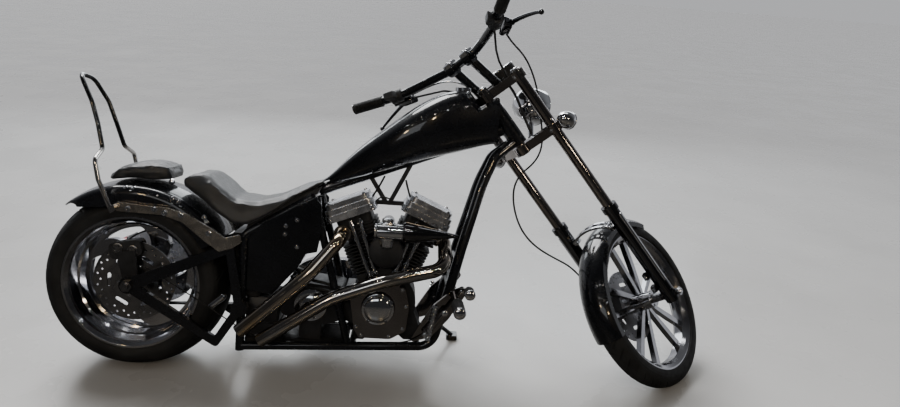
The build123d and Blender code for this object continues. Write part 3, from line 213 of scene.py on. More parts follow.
class Finish:
    def __init__(self, name, sockets):
        self.material = bpy.data.materials.new(name)
        self.material.use_nodes = True
        self.tree = self.material.node_tree
        self.shader = self.tree.nodes["Principled BSDF"]
        for socket, value in sockets.items():
            self.shader.inputs[socket].default_value = value
        self.place = self.node("TexCoord", {}, "Object")
        self.edge = None

    def node(self, kind, inputs, output=0, **settings):
        return shaderNode(self.tree, kind, inputs, output, **settings)

    def link(self, source, socket):
        self.tree.links.new(source, self.shader.inputs[socket])

    def clouds(self, scale, detail=3.0, rough=0.5, warp=0.0):
        inputs = {"Vector": self.place, "Scale": scale, "Detail": detail, "Roughness": rough, "Distortion": warp}
        return self.node("TexNoise", inputs, "Fac")

    def cells(self, scale, feature="F1"):
        return self.node("TexVoronoi", {"Vector": self.place, "Scale": scale}, "Distance", feature=feature)

    def ramp(self, source, *stops):
        return colorRamp(self.tree, source, stops)

    # two tones in clouds
    def tones(self, cloud, low, high, start=0.3, end=0.7):
        return self.ramp(self.clouds(*cloud), (start, low), (end, high))

    def spread(self, source, low, high, start=0.3, end=0.7):
        inputs = {"Value": source, "From Min": start, "From Max": end, "To Min": low, "To Max": high}
        return self.node("MapRange", inputs, "Result")

    def blend(self, amount, first, second, kind="MIX"):
        first, second = ((*value, 1) if isinstance(value, tuple) else value for value in (first, second))
        return self.node("Mix", {0: amount, 6: first, 7: second}, 2, data_type="RGBA", blend_type=kind)

    def bump(self, height, strength, depth, under=None):
        inputs = {"Height": height, "Strength": strength, "Distance": depth}
        if under or self.edge:
            inputs["Normal"] = under or self.edge
        return self.node("Bump", inputs, "Normal")

    # edges that catch the light as if rounded to this radius
    def eased(self, radius):
        self.edge = self.node("Bevel", {"Radius": radius}, "Normal", samples=3)

    # uneven gloss; smears are clouds
    def gloss(self, smears, low, high, start=0.3):
        self.link(self.spread(self.clouds(*smears), low, high, start), "Roughness")

    # fine grain; clouds under the shader's normal
    def grain(self, cloud, strength, depth, *targets):
        height = self.bump(self.clouds(*cloud), strength, depth)
        for target in ("Normal", *targets):
            self.link(height, target)


# Gloss black paint: deep lacquer with fine flakes under a clear coat
paintLook = {"deep": (0.0035, 0.004, 0.0055), "lifted": (0.009, 0.010, 0.013), "flake": (0.10, 0.12, 0.15)}
paintSockets = {"Roughness": 0.24, "Specular IOR Level": 0.15, "Coat Weight": 1.0, "Coat Roughness": 0.025}


def glossPaint(values):
    made = Finish("gloss_paint", paintSockets)
    made.eased(0.0018)
    body = made.tones((3.5, 4), values["deep"], values["lifted"], 0.35)
    specks = made.ramp(made.cells(1500), (0.0, white), (0.09, black))
    made.link(made.blend(specks, body, values["flake"]), "Base Color")
    made.gloss((26, 5, 0.6), 0.2, 0.34)
    made.grain((260, 1), 0.05, 0.0004, "Coat Normal")
    return made.material


# Finishes of one build: two tones in clouds, uneven gloss and a fine grain
# Satin black of the engine cases and small castings
castLook = {
    "sockets": {"Metallic": 0.25, "Specular IOR Level": 0.5}, "edge": 0.0018, "clouds": (14, 5, 0.6), "end": 0.75,
    "low": (0.012, 0.013, 0.015), "high": (0.035, 0.036, 0.04),
    "gloss": ((60, 3), 0.38, 0.58), "grain": ((900, 2, 0.7), 0.35, 0.0006),
}

# Mirror chrome, with a smear of hand polish in its gloss
chromeLook = {
    "sockets": {"Metallic": 1.0}, "edge": 0.0015, "clouds": (7, 4), "end": 0.7,
    "low": (0.62, 0.62, 0.64), "high": (0.78, 0.79, 0.81),
    "gloss": ((22, 5, 0.65, 0.4), 0.03, 0.11, 0.35), "grain": ((700, 2), 0.03, 0.0002),
}

# Its kin: low tone, high tone, gloss range
chromeKin = {
    "smoked": ("smoked_chrome", (0.24, 0.22, 0.21), (0.36, 0.335, 0.32), 0.05, 0.12),
    "strut": ("strut_metal", (0.40, 0.37, 0.33), (0.66, 0.62, 0.56), 0.2, 0.34),
    "darkChrome": ("dark_chrome", (0.09, 0.09, 0.095), (0.16, 0.16, 0.165), 0.04, 0.1),
    "alloy": ("polished_alloy", (0.42, 0.42, 0.44), (0.62, 0.62, 0.64), 0.06, 0.18),
    "satinAlloy": ("satin_alloy", (0.62, 0.63, 0.66), (0.84, 0.85, 0.88), 0.2, 0.34),
}

# Plain steel of axles and nuts, dark plastic, and the cream enamel of the gauge's marks
steelLook = {
    "sockets": {"Metallic": 1.0, "Anisotropic": 0.3}, "clouds": (9, 5, 0.6), "end": 0.7,
    "low": (0.20, 0.20, 0.21), "high": (0.34, 0.34, 0.35),
    "gloss": ((50, 4), 0.2, 0.38), "grain": ((1200, 2), 0.1, 0.0002),
}
plasticLook = {
    "sockets": {"Specular IOR Level": 0.5}, "clouds": (18, 4), "end": 0.7,
    "low": (0.012, 0.012, 0.013), "high": (0.03, 0.03, 0.032),
    "gloss": ((60, 3), 0.3, 0.48), "grain": ((1400, 2), 0.15, 0.0003),
}
enamelLook = {
    "sockets": {"Specular IOR Level": 0.4}, "clouds": (90, 3), "end": 0.7,
    "low": (0.62, 0.60, 0.53), "high": (0.72, 0.70, 0.64), "gloss": ((60, 3), 0.35, 0.5),
}


def plainFinish(name, values):
    made = Finish(name, values["sockets"])
    if "edge" in values:
        made.eased(values["edge"])
    made.link(made.tones(values["clouds"], values["low"], values["high"], end=values["end"]), "Base Color")
    made.gloss(*values["gloss"])
    if "grain" in values:
        made.grain(*values["grain"])
    return made.material


# Exhaust chrome, warmed towards straw where it has been hot
pipeLook = {"bright": (0.58, 0.56, 0.53), "warm": (0.52, 0.41, 0.27), "dull": (0.38, 0.36, 0.35)}


def pipeChrome(values):
    made = Finish("pipe_chrome", {"Metallic": 1.0})
    plain = made.tones((5, 4), values["dull"], values["bright"])
    heat = made.ramp(made.clouds(3.2, 2, 0.5, 0.6), (0.42, black), (0.66, white))
    made.link(made.blend(heat, plain, values["warm"]), "Base Color")
    made.gloss((24, 5, 0.65, 0.3), 0.05, 0.16, 0.35)
    made.grain((500, 2), 0.04, 0.0002)
    return made.material


# Brake disc: dark band with turned rings, as it wears
def discSteel(name, values, hub):
    made = Finish(name, {"Metallic": 1.0})
    reach = made.node("VectorMath", {0: made.place, 1: hub.translation}, "Value", operation="DISTANCE")
    rings = made.node("TexNoise", {"W": reach, "Scale": 900}, "Fac", noise_dimensions="1D")
    made.link(made.ramp(rings, (0.3, values["low"]), (0.7, values["high"])), "Base Color")
    made.gloss((30, 4), 0.22, 0.4)
    made.link(made.bump(rings, 0.25, 0.0003), "Normal")
    return made.material


# Rubber of the tyres, grips and hoses, greyed by dust on the tyres
rubberLook = {"low": (0.006, 0.006, 0.0065), "high": (0.017, 0.0175, 0.018), "dust": (0.05, 0.049, 0.047)}


def rubber(name, values, dust=0.0):
    made = Finish(name, {"Specular IOR Level": 0.4})
    body = made.tones((12, 5, 0.6), values["low"], values["high"], end=0.75)
    if dust:
        body = made.blend(made.tones((5, 6, 0.7), black, (dust, dust, dust), 0.5, 0.8), body, values["dust"])
    made.link(body, "Base Color")
    made.gloss((40, 4), 0.5, 0.72)
    made.grain((900, 3, 0.7), 0.25, 0.0005)
    return made.material


# Seat leather: pebbled grain, creases and a soft shine
leatherLook = {"low": (0.006, 0.0068, 0.008), "high": (0.017, 0.018, 0.021), "grain": 420}


def leather(values):
    made = Finish("leather", {"Specular IOR Level": 0.62, "Sheen Weight": 0.15, "Sheen Roughness": 0.4})
    made.link(made.tones((8, 6, 0.6), values["low"], values["high"], end=0.75), "Base Color")
    pebbles = made.ramp(made.cells(values["grain"], "DISTANCE_TO_EDGE"), (0.0, black), (0.22, white))
    made.gloss((30, 5, 0.6), 0.28, 0.42)
    creases = made.clouds(34, 4, 0.6, 0.8)
    made.link(made.bump(creases, 0.25, 0.002, made.bump(pebbles, 0.35, 0.0005)), "Normal")
    return made.material


# Hoop backrest: bright legs below, black above the bends
hoopLook = {"bright": (0.62, 0.60, 0.58), "dark": (0.006, 0.006, 0.007), "from": 0.792, "to": 0.806}


def hoop(values):
    made = Finish("hoop", {"Coat Weight": 0.5, "Coat Roughness": 0.05})
    level = made.node("VectorMath", {0: made.place, 1: machineUp}, "Value", operation="DOT_PRODUCT")
    foot = machine.translation.dot(machineUp)
    dark = made.spread(level, 0, 1, foot + values["from"], foot + values["to"])
    made.link(made.blend(dark, values["bright"], values["dark"]), "Base Color")
    made.link(made.node("Math", {0: 1.0, 1: dark}, operation="SUBTRACT"), "Metallic")
    made.gloss((24, 5, 0.6), 0.06, 0.16)
    made.grain((600, 2), 0.04, 0.0002)
    return made.material


# Moulded lenses
def lens(name, tint, through):
    made = Finish(name, {"Transmission Weight": through, "Roughness": 0.06, "IOR": 1.49})
    made.link(made.tones((20, 2), tuple(0.85 * part for part in tint), tint), "Base Color")
    made.link(made.bump(made.cells(260), 0.12, 0.0006), "Normal")
    return made.material


finishes = {
    "paint": glossPaint(paintLook),
    "castBlack": plainFinish("cast_black", castLook),
    "chrome": plainFinish("chrome", chromeLook),
    "pipe": pipeChrome(pipeLook),
    "steel": plainFinish("steel", steelLook),
    "rearDisc": discSteel("rear_disc_steel", steelLook, rearHub),
    "frontDisc": discSteel("front_disc_steel", steelLook, fork),
    "tyre": rubber("tyre_rubber", rubberLook, 0.35),
    "rubber": rubber("black_rubber", rubberLook),
    "leather": leather(leatherLook),
    "redLens": lens("red_lens", (0.55, 0.01, 0.012), 0.35),
    "amberLens": lens("amber_lens", (0.75, 0.26, 0.02), 0.4),
    "clearLens": lens("clear_lens", (0.92, 0.94, 0.96), 0.92),
    "plastic": plainFinish("dark_plastic", plasticLook),
    "enamel": plainFinish("cream_enamel", enamelLook),
    "hoop": hoop(hoopLook),
}
for finish, (name, low, high, *gloss) in chromeKin.items():
    kin = {"low": low, "high": high, "gloss": ((22, 5, 0.65, 0.4), *gloss, 0.35)}
    finishes[finish] = plainFinish(name, chromeLook | kin)

print("finishes made:", len(finishes))

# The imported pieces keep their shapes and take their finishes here
finishOfNode = {
    "paint": (
        "frame_rear", "frame_rails", "frame_neck", "frame_downtubes", "seat_posts", "swingarm", "rear_fender",
        "plate_bracket", "fuel_tank", "oil_tank", "handlebar", "risers", "front_fender", "side_stand",
    ),
    "castBlack": (
        "crankcase", "gearbox", "cylinders", "rear_caliper", "front_caliper", "regulator", "top_mount",
    ),
    "chrome": ("tank_cap", "primary_cover", "pushrod_tubes", "intake"),
    "hoop": ("sissy_bar",),
    "smoked": ("fork_trees", "fork_tubes", "right_controls", "left_controls", "cam_cover"),
    "strut": ("fender_struts",),
    "darkChrome": ("fork_sliders", "air_cleaner"),
    "pipe": ("front_exhaust", "rear_exhaust"),
    "alloy": ("rear_rim", "front_rim"),
    "satinAlloy": ("rear_pulley", "rocker_boxes"),
    "steel": ("rear_axle", "front_axle"),
    "rearDisc": ("rear_disc",),
    "frontDisc": ("front_disc",),
    "rubber": ("gauge", "drive_belt", "control_cables"),
    "redLens": ("tail_lamp",),
}
for finish, names in finishOfNode.items():
    for name in names:
        nodes[name].data.materials.clear()
        nodes[name].data.materials.append(finishes[finish])
print("packed pieces dressed")


# Mesh helpers: a form is a list of points, in its body's drawing frame, and a list of faces
def meshPiece(name, form, finish, body, bend=40, replaced=()):
    points, faces = form
    mesh = bpy.data.meshes.new(name)
    mesh.from_pydata([drawnIn[body] @ Vector(point) for point in points], [], faces)
    shaped = bmesh.new()
    shaped.from_mesh(mesh)
    bmesh.ops.recalc_face_normals(shaped, faces=shaped.faces)
    shaped.to_mesh(mesh)
    shaped.free()
    mesh.shade_smooth()
    mesh.set_sharp_from_angle(angle=radians(bend))
    mesh.materials.append(finishes[finish])
    obj = added(name, mesh)
    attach(obj, body)
    if replaced:
        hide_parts(*replaced)
    return obj


# A profile of (along Y, radius) turned about Y; shape gives how deep its surface is cut
def lathed(profile, count, shape=None):
    points, faces = [], []
    across = len(profile)
    for step in range(count):
        turn = 2 * pi * step / count
        for along, radius in profile:
            deep = shape(along, radius, turn) if shape else 0
            points.append(((radius - deep) * cos(turn), along, (radius - deep) * sin(turn)))
    for step in range(count):
        first, second = step * across, (step + 1) % count * across
        for index in range(across - 1):
            faces.append((first + index, first + index + 1, second + index + 1, second + index))
    return points, faces


# Points along the circle through three points, without the first
def arc(first, middle, last, count):
    (ax, ay), (bx, by), (cx, cy) = first, middle, last
    twice = 2 * (ax * (by - cy) + bx * (cy - ay) + cx * (ay - by))
    ox = ((ax**2 + ay**2) * (by - cy) + (bx**2 + by**2) * (cy - ay) + (cx**2 + cy**2) * (ay - by)) / twice
    oy = ((ax**2 + ay**2) * (cx - bx) + (bx**2 + by**2) * (ax - cx) + (cx**2 + cy**2) * (bx - ax)) / twice
    radius = hypot(ax - ox, ay - oy)
    start, through, end = (atan2(y - oy, x - ox) for x, y in (first, middle, last))
    sweep = (end - start) % (2 * pi)
    if (through - start) % (2 * pi) > sweep:
        sweep -= 2 * pi
    turns = [start + sweep * step / count for step in range(1, count + 1)]
    return [(ox + radius * cos(turn), oy + radius * sin(turn)) for turn in turns]


def joined(forms):
    points, faces = [], []
    for formPoints, formFaces in forms:
        offset = len(points)
        points += formPoints
        faces += [tuple(index + offset for index in face) for face in formFaces]
    return points, faces


# A turned form whose axis starts at a point and runs along a direction, capped at both ends
def turned(profile, count, start, way):
    points, faces = lathed(profile, count)
    across = len(profile)
    for end in (0, across - 1):
        faces.append(tuple(step * across + end for step in range(count)))
    place = Matrix.Translation(Vector(start)) @ Vector(way).to_track_quat("Y", "Z").to_matrix().to_4x4()
    return [tuple(place @ Vector(point)) for point in points], faces


# Turned forms in one piece; columns: profile, count around, start, way
def turnedPiece(name, rows, finish, body, bend=30, replaced=()):
    return meshPiece(name, joined([turned(*row) for row in rows]), finish, body, bend, replaced)


def ringProfile(radius, long):
    return ((0, radius - 1), (1, radius), (long - 1, radius), (long, radius - 1))


# A shallow dome that rises along Y from its rim to its centre
def domeProfile(radius, high, steps=8, start=0.0):
    rows = [(start, radius)]
    for step in range(1, steps + 1):
        turn = step / steps * pi / 2
        rows.append((start + high * sin(turn), max(radius * cos(turn), 0.4)))
    return rows


# Loops of equal count, one after another, closed at both ends
def layered(loops):
    across = len(loops[0])
    points = [tuple(point) for loop in loops for point in loop]
    faces = [tuple(range(across)), tuple(range(len(points) - across, len(points)))]
    for row in range(len(loops) - 1):
        for index in range(across):
            first, second = row * across + index, row * across + (index + 1) % across
            faces.append((first, second, second + across, first + across))
    return points, faces


def roundedLoop(halfX, halfY, corner, steps=4):
    points = []
    for quarter, (signX, signY) in enumerate(((1, 1), (-1, 1), (-1, -1), (1, -1))):
        x, y = signX * (halfX - corner), signY * (halfY - corner)
        for step in range(steps + 1):
            turn = pi / 2 * (quarter + step / steps)
            points.append((x + corner * cos(turn), y + corner * sin(turn)))
    return points


# A rounded box; rows are (height, inset)
def stacked(rows, halfX, halfY, corner, place):
    loops = []
    for height, inset in rows:
        loop = roundedLoop(halfX - inset, halfY - inset, max(corner - inset, 0.8))
        loops.append([place @ Vector((x, y, height)) for x, y in loop])
    return layered(loops)


# An upright plate with eased edges, cut to an outline of x and z; right and left give its sides
def plate(outline, right, left, inset=2.0):
    count = len(outline)
    pulled = []
    for index in range(count):
        before, here, after = (Vector(outline[(index + shift) % count]) for shift in (-1, 0, 1))
        ways = (here - before).normalized(), (after - here).normalized()
        inward = Vector((-(ways[0].y + ways[1].y), ways[0].x + ways[1].x)).normalized()
        pulled.append(here + inward * inset)
    area = sum(a[0] * b[1] - b[0] * a[1] for a, b in zip(outline, outline[1:] + outline[:1]))
    if area < 0:
        pulled = [Vector(here) * 2 - moved for here, moved in zip(outline, pulled)]
    loops = []
    steps = ((pulled, right, 0), (outline, right, inset), (outline, left, -inset), (pulled, left, 0))
    for loop, side, shift in steps:
        loops.append([(point[0], side(point[0]) + shift, point[1]) for point in loop])
    return layered(loops)


# A thin held cable or tube on one smooth line
def strand(name, body, radius, finish, route):
    curve = bpy.data.curves.new(name, "CURVE")
    curve.dimensions = "3D"
    curve.bevel_depth = radius * 0.001
    curve.bevel_resolution = 3
    curve.use_fill_caps = True
    spline = curve.splines.new("NURBS")
    spline.points.add(len(route) - 1)
    for point, spot in zip(spline.points, route):
        point.co = (*(drawnIn[body] @ Vector(spot)), 1)
    spline.order_u = 4
    spline.use_endpoint_u = True
    spline.resolution_u = 8
    curve.materials.append(finishes[finish])
    obj = added(name, curve)
    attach(obj, body)
    return obj


# Screws and nuts on washers; columns: x, y, z, facing x, y, z, radius
def screws(name, rows, body, rise, finish="chrome"):
    forms = []
    for x, y, z, facingX, facingY, facingZ, radius in rows:
        high, washer = radius * rise, radius * 1.4
        profile = ((-0.3, washer), (radius * 0.22, washer), (radius * 0.24, radius))
        head = ((high * 0.85, radius), (high, radius * 0.86), (high, radius * 0.45), (high * 0.55, radius * 0.4))
        forms.append((profile + head, 12, (x, y, z), (facingX, facingY, facingZ)))
    turnedPiece(name, forms, finish, body)


# Rear tyre: sidewall bands and a road tread of curved grooves
rearTyre = {
    "radius": 328, "crown": 200, "crownHalf": 85, "half": 123, "bulge": 266, "flange": 243, "well": 230,
    "rimHalf": 118, "lip": 8, "around": 720,
    "pitches": 30, "grooveHalf": 2.4, "grooveDeep": 4.5, "treadHalf": 108, "slope": 0.9,
}


def grooveShape(values):
    def shape(along, radius, turn):
        if abs(along) > values["treadHalf"] or radius < values["bulge"]:
            return 0
        side = 1 if along > 0 else -1
        spread = abs(along) / values["treadHalf"]
        phase = turn * values["pitches"] / (2 * pi) + side * 0.25 + values["slope"] * spread**1.4
        gap = abs(phase - round(phase)) * 2 * pi * radius / values["pitches"]
        depth = max(0.0, 1 - (gap / values["grooveHalf"]) ** 4) if gap < values["grooveHalf"] else 0
        fade = min(1, max(0, (spread - 0.1) * 12)) * min(1, max(0, (0.99 - spread) * 14))
        return values["grooveDeep"] * depth * fade
    return shape


def makeRearTyre(values):
    half, bulge, flange, rimHalf = (values[key] for key in ("half", "bulge", "flange", "rimHalf"))
    edge = values["radius"] - values["crown"] + sqrt(values["crown"] ** 2 - values["crownHalf"] ** 2)
    right, left = (-values["crownHalf"], edge), (values["crownHalf"], edge)
    crown = [right] + arc(right, (0, values["radius"]), left, 60)
    wall = arc(left, (half - 11, values["radius"] - 36), (half, bulge), 14)
    side = [(along - (0.9 if index % 4 == 1 else 0), radius) for index, (along, radius) in enumerate(wall)]
    side += [(rimHalf + 3, flange + 9), (rimHalf + 1.5, flange + 6), (rimHalf + 1, flange + 1)]
    side += [(rimHalf - values["lip"], flange), (rimHalf - values["lip"], values["well"])]
    profile = [(-along, radius) for along, radius in reversed(side)] + crown + side
    tyre = lathed(profile, values["around"], grooveShape(values))
    meshPiece("rear_tyre_rubber", tyre, "tyre", "rear_wheel", 30, ("rear_tyre",))


# Front tyre: round in section, with short slanted grooves
frontTyre = {
    "radius": 341, "section": 46, "flange": 279, "well": 266, "rimHalf": 38, "lip": 7, "bulge": 300, "around": 760,
    "pitches": 44, "grooveHalf": 1.9, "grooveDeep": 3.6, "treadHalf": 36, "slope": 0.7, "ridges": (8, 12, 52, 56),
}


def makeFrontTyre(values):
    flange, well, section = values["flange"], values["well"], values["section"]
    bead = sqrt(section**2 - (values["radius"] - section - flange) ** 2)
    over = [(-bead, flange)] + arc((-bead, flange), (0, values["radius"]), (bead, flange), 64)
    inner = values["rimHalf"] - values["lip"]
    profile = [(-inner, well), (-inner, flange)]
    for index, (along, radius) in enumerate(over):
        ridge = 0.8 if index in values["ridges"] else 0
        profile.append((along * (1 - ridge / section), radius))
    profile += [(inner, flange), (inner, well)]
    tyre = lathed(profile, values["around"], grooveShape(values))
    meshPiece("front_tyre_rubber", tyre, "tyre", "front_wheel", 30, ("front_tyre",))


makeRearTyre(rearTyre)
makeFrontTyre(frontTyre)
print("tyres made")


# Seat and pillion pad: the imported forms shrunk, then blown up as cloth with their undersides held
seatLook = {"voxel": 0.006, "shrink": 0.007, "pressure": 5.0, "cap": 0.012, "frames": 18, "fill": 0.75, "taper": 0}
padLook = {
    "voxel": 0.005, "shrink": 0.007, "pressure": 5.0, "cap": 0.013, "frames": 18, "fill": 0.8,
    "taper": 0.24, "shorter": 26, "back": -100, "long": 250,
}
clothLook = {
    "quality": 5, "mass": 0.3, "use_pressure": True, "tension_stiffness": 12, "compression_stiffness": 12,
    "bending_stiffness": 1.5, "vertex_group_mass": "resting",
}


def evaluatedMesh(obj):
    graph = bpy.context.evaluated_depsgraph_get()
    return bpy.data.meshes.new_from_object(obj.evaluated_get(graph), depsgraph=graph)


def smoothed(obj, name, factor, iterations):
    smooth = obj.modifiers.new(name, "SMOOTH")
    smooth.factor = factor
    smooth.iterations = iterations
    mesh = evaluatedMesh(obj)
    obj.modifiers.clear()
    obj.data = mesh
    return mesh


# Pad narrower and shorter towards its front
def tapered(mesh, values):
    toMachine = machine.inverted()
    for vertex in mesh.vertices:
        spot = toMachine @ vertex.co
        share = (spot.x - values["back"]) / values["long"]
        spot.x -= values["shorter"] * share**2
        spot.y *= 1 - values["taper"] * share**2
        vertex.co = machine @ spot


def blownUp(obj, mesh, resting, values):
    start = [vertex.co.copy() for vertex in mesh.vertices]
    obj.vertex_groups.new(name="resting").add(resting, 1.0, "REPLACE")
    cloth = obj.modifiers.new("cloth", "CLOTH")
    for setting, value in clothLook.items():
        setattr(cloth.settings, setting, value)
    cloth.settings.uniform_pressure_force = values["pressure"]
    cloth.settings.effector_weights.gravity = 0
    cloth.point_cache.frame_start = 1
    cloth.point_cache.frame_end = values["frames"]
    for step in range(1, values["frames"] + 1):
        sceneNow.frame_set(step)
    blown = evaluatedMesh(obj)
    for vertex, before, after in zip(mesh.vertices, start, blown.vertices):
        moved = after.co - before
        if moved.length > values["cap"]:
            moved *= values["cap"] / moved.length
        vertex.co = before + moved
    bpy.data.meshes.remove(blown)
    obj.modifiers.remove(cloth)
    obj.vertex_groups.clear()
    sceneNow.frame_set(1)


def cushion(name, node, values):
    obj = added(name, nodes[node].data.copy())
    remesh = obj.modifiers.new("remesh", "REMESH")
    remesh.mode = "VOXEL"
    remesh.voxel_size = values["voxel"]
    mesh = smoothed(obj, "even", 0.6, 16)
    if values["taper"]:
        tapered(mesh, values)
    resting = [vertex.index for vertex in mesh.vertices if vertex.normal.dot(machineUp) < -0.35]
    for vertex in mesh.vertices:
        vertex.co -= vertex.normal * values["shrink"]
    blownUp(obj, mesh, resting, values)
    mesh.shade_smooth()
    mesh.materials.clear()
    mesh.materials.append(finishes["leather"])
    smoothed(obj, "soften", 0.5, 14)
    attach(obj, "frame")
    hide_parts(node)


cushion("seat_cushion", "rider_seat", seatLook)
cushion("pillion_cushion", "pillion_pad", padLook)
print("cushions made")

# Screws and bolts of the fenders, struts and side covers
frameScrews = [
    (-13, -138, 678, -0.3, -0.6, 0.75, 6),
    (13, -138, 677, -0.1, -0.6, 0.75, 6),
    (145, -138, 650, 0, -1, 0, 6),
    (169, -138, 640, 0, -1, 0, 6),
    (257, -138, 590, 0, -1, 0, 6),
    (265, -138, 575, 0, -1, 0, 6),
]
strutPlaces = ((4, 606), (94, 610), (129, 600), (185, 596), (282, 536))
strutScrews = [(x, side * 162, z, 0, side, 0, 8) for side in sides for x, z in strutPlaces]
coverPlaces = ((579, 598), (540, 574), (538, 544), (583, 499))
coverScrews = [(x, side * 118, z, 0, side, 0, 6) for side in sides for x, z in coverPlaces]

# The engine: its crank, each barrel's lean, and the rocker boxes' bolts
engineLook = {"crankX": 905, "crankZ": 300, "lean": 22.5, "top": 412, "side": 359}


def bankPoint(values, turn, across, sideways, up):
    x = values["crankX"] + sin(turn) * up + cos(turn) * across
    return x, sideways, values["crankZ"] + cos(turn) * up - sin(turn) * across


def rockerRows(values):
    rows = []
    for turn in (radians(-values["lean"]), radians(values["lean"])):
        for across in (-66, 66):
            for sideways in (-80, 50):
                place = bankPoint(values, turn, across, sideways, values["top"])
                rows.append((*place, sin(turn), 0, cos(turn), 6))
        for across in (-78, 78):
            rows.append((*bankPoint(values, turn, across, -106, values["side"]), 0, -1, 0, 5))
    return rows


def ringRows(x, y, z, radius, count, size, way, start=0):
    rows = []
    for step in range(count):
        turn = radians(start + 360 * step / count)
        rows.append((x + radius * cos(turn), y, z + radius * sin(turn), 0, way, 0, size))
    return rows


camPlaces = ((794, 340), (860, 362), (975, 362), (992, 300), (984, 214), (934, 182), (832, 182), (812, 214))
camRows = [(x, -120, z, 0, -1, 0, 5) for x, z in camPlaces]
primaryRows = ringRows(905, 217.5, 300, 86, 6, 5, 1, 20) + ringRows(640, 217.5, 270, 112, 7, 5, 1, 40)
screws("fender_bolts", frameScrews, "frame", 0.7)
screws("strut_bolts", strutScrews, "frame", 0.8)
screws("cover_bolts", coverScrews, "frame", 0.6)
screws("rocker_bolts", rockerRows(engineLook), "frame", 0.9)
screws("cam_bolts", camRows, "frame", 0.8)
screws("primary_bolts", primaryRows, "frame", 0.7)
print("screws made")

# Pushrod collars: a nut low on each tube and a cap under the head
# tubes: foot x, z, head x, z; rings: reach along the tube, radius, length
pushrodLook = {
    "tubes": ((850, 405, 766, 603), (872, 410, 798, 616), (938, 410, 1012, 616), (960, 405, 1044, 603)),
    "lowRings": ((2, 13, 10), (14, 11, 5), (46, 11, 12), (60, 9.6, 4)),
    "highRings": ((22, 12, 10), (36, 10.5, 4)),
    "footY": -98,
    "headY": -88,
}


def makeCollars(values):
    rows = []
    for footX, footZ, headX, headZ in values["tubes"]:
        low, high = Vector((footX, values["footY"], footZ)), Vector((headX, values["headY"], headZ))
        way = (high - low).normalized()
        for reach, radius, long in values["lowRings"]:
            rows.append((ringProfile(radius, long), 24, low + way * reach, way))
        for reach, radius, long in values["highRings"]:
            rows.append((ringProfile(radius, long), 24, high - way * reach, way))
    turnedPiece("pushrod_collars", rows, "chrome", "frame")


makeCollars(pushrodLook)


# Grips: ribbed rubber sleeves with polished end caps
gripLook = {
    "inner": (-186, 325, 1261), "outer": (-230, 420, 1298), "reach": 14, "radius": 21, "ribs": 17,
    "cap": ((0, 17), (0.4, 19.5), (3.4, 19.5), (4.6, 17), (4.9, 8)),
}


def makeGrips(values):
    sleeves, caps = [], []
    radius = values["radius"]
    for side in sides:
        start, end = onSide(side, values["inner"]), onSide(side, values["outer"])
        way = (end - start).normalized()
        long = (end - start).length + values["reach"]
        profile = [(0.0, 16.5), (0.5, radius - 0.5), (5, radius)]
        pitch = (long - 22) / values["ribs"]
        for rib in range(values["ribs"]):
            at = 8 + rib * pitch
            profile += [(at, radius - 2.6), (at + pitch * 0.3, radius - 2.6)]
            profile += [(at + pitch * 0.42, radius - 0.6), (at + pitch * 0.85, radius - 0.6)]
        profile += [(long - 12, radius), (long - 5, radius), (long - 4.5, 17)]
        sleeves.append((profile, 40, start, way))
        caps.append((values["cap"], 40, start + way * (long - 5), way))
    turnedPiece("grip_sleeves", sleeves, "rubber", "steering", 30, ("grips",))
    turnedPiece("grip_caps", caps, "chrome", "steering")


makeGrips(gripLook)
print("grips made")


# Lamps: clear headlamp glass in a bright ring, its reflector and shell, and bullet signals with amber glasses
lampLook = {"centre": (150, 0, 900), "radius": 68, "front": 36, "bulge": 9, "stalk": (20, 0, 809)}
signalLook = {"across": 184, "height": 809, "radius": 30, "front": 26, "footAcross": 154, "footHeight": 803}
lampForms = {
    "ring": ((-3, 69), (-3, 73.5), (1.5, 73.5), (3.5, 71), (3.5, 67), (0.5, 66)),
    "bowl": ((0.3, 66), (0.2, 60), (0.25, 30), (0.3, 12), (4.5, 11), (5.5, 8), (5.8, 2)),
    "shell": (
        (-66, 2), (-66, 20), (-63, 36), (-54, 51), (-40, 61), (-22, 68), (-4, 71.5), (12, 72.8), (33, 73), (34, 71),
    ),
    "stem": ((0, 11), (70, 11)),
    "signalRim": ((-2, 31), (-2, 33.5), (1, 33.5), (2.2, 31.5), (2.2, 30)),
    "bullet": ((-34, 1), (-33, 9), (-29, 16), (-22, 22.5), (-12, 28), (-2, 31), (10, 32.6), (22, 33), (25, 31)),
    "signalStem": ((0, 9), (3, 9), (4, 7), (30, 7)),
}


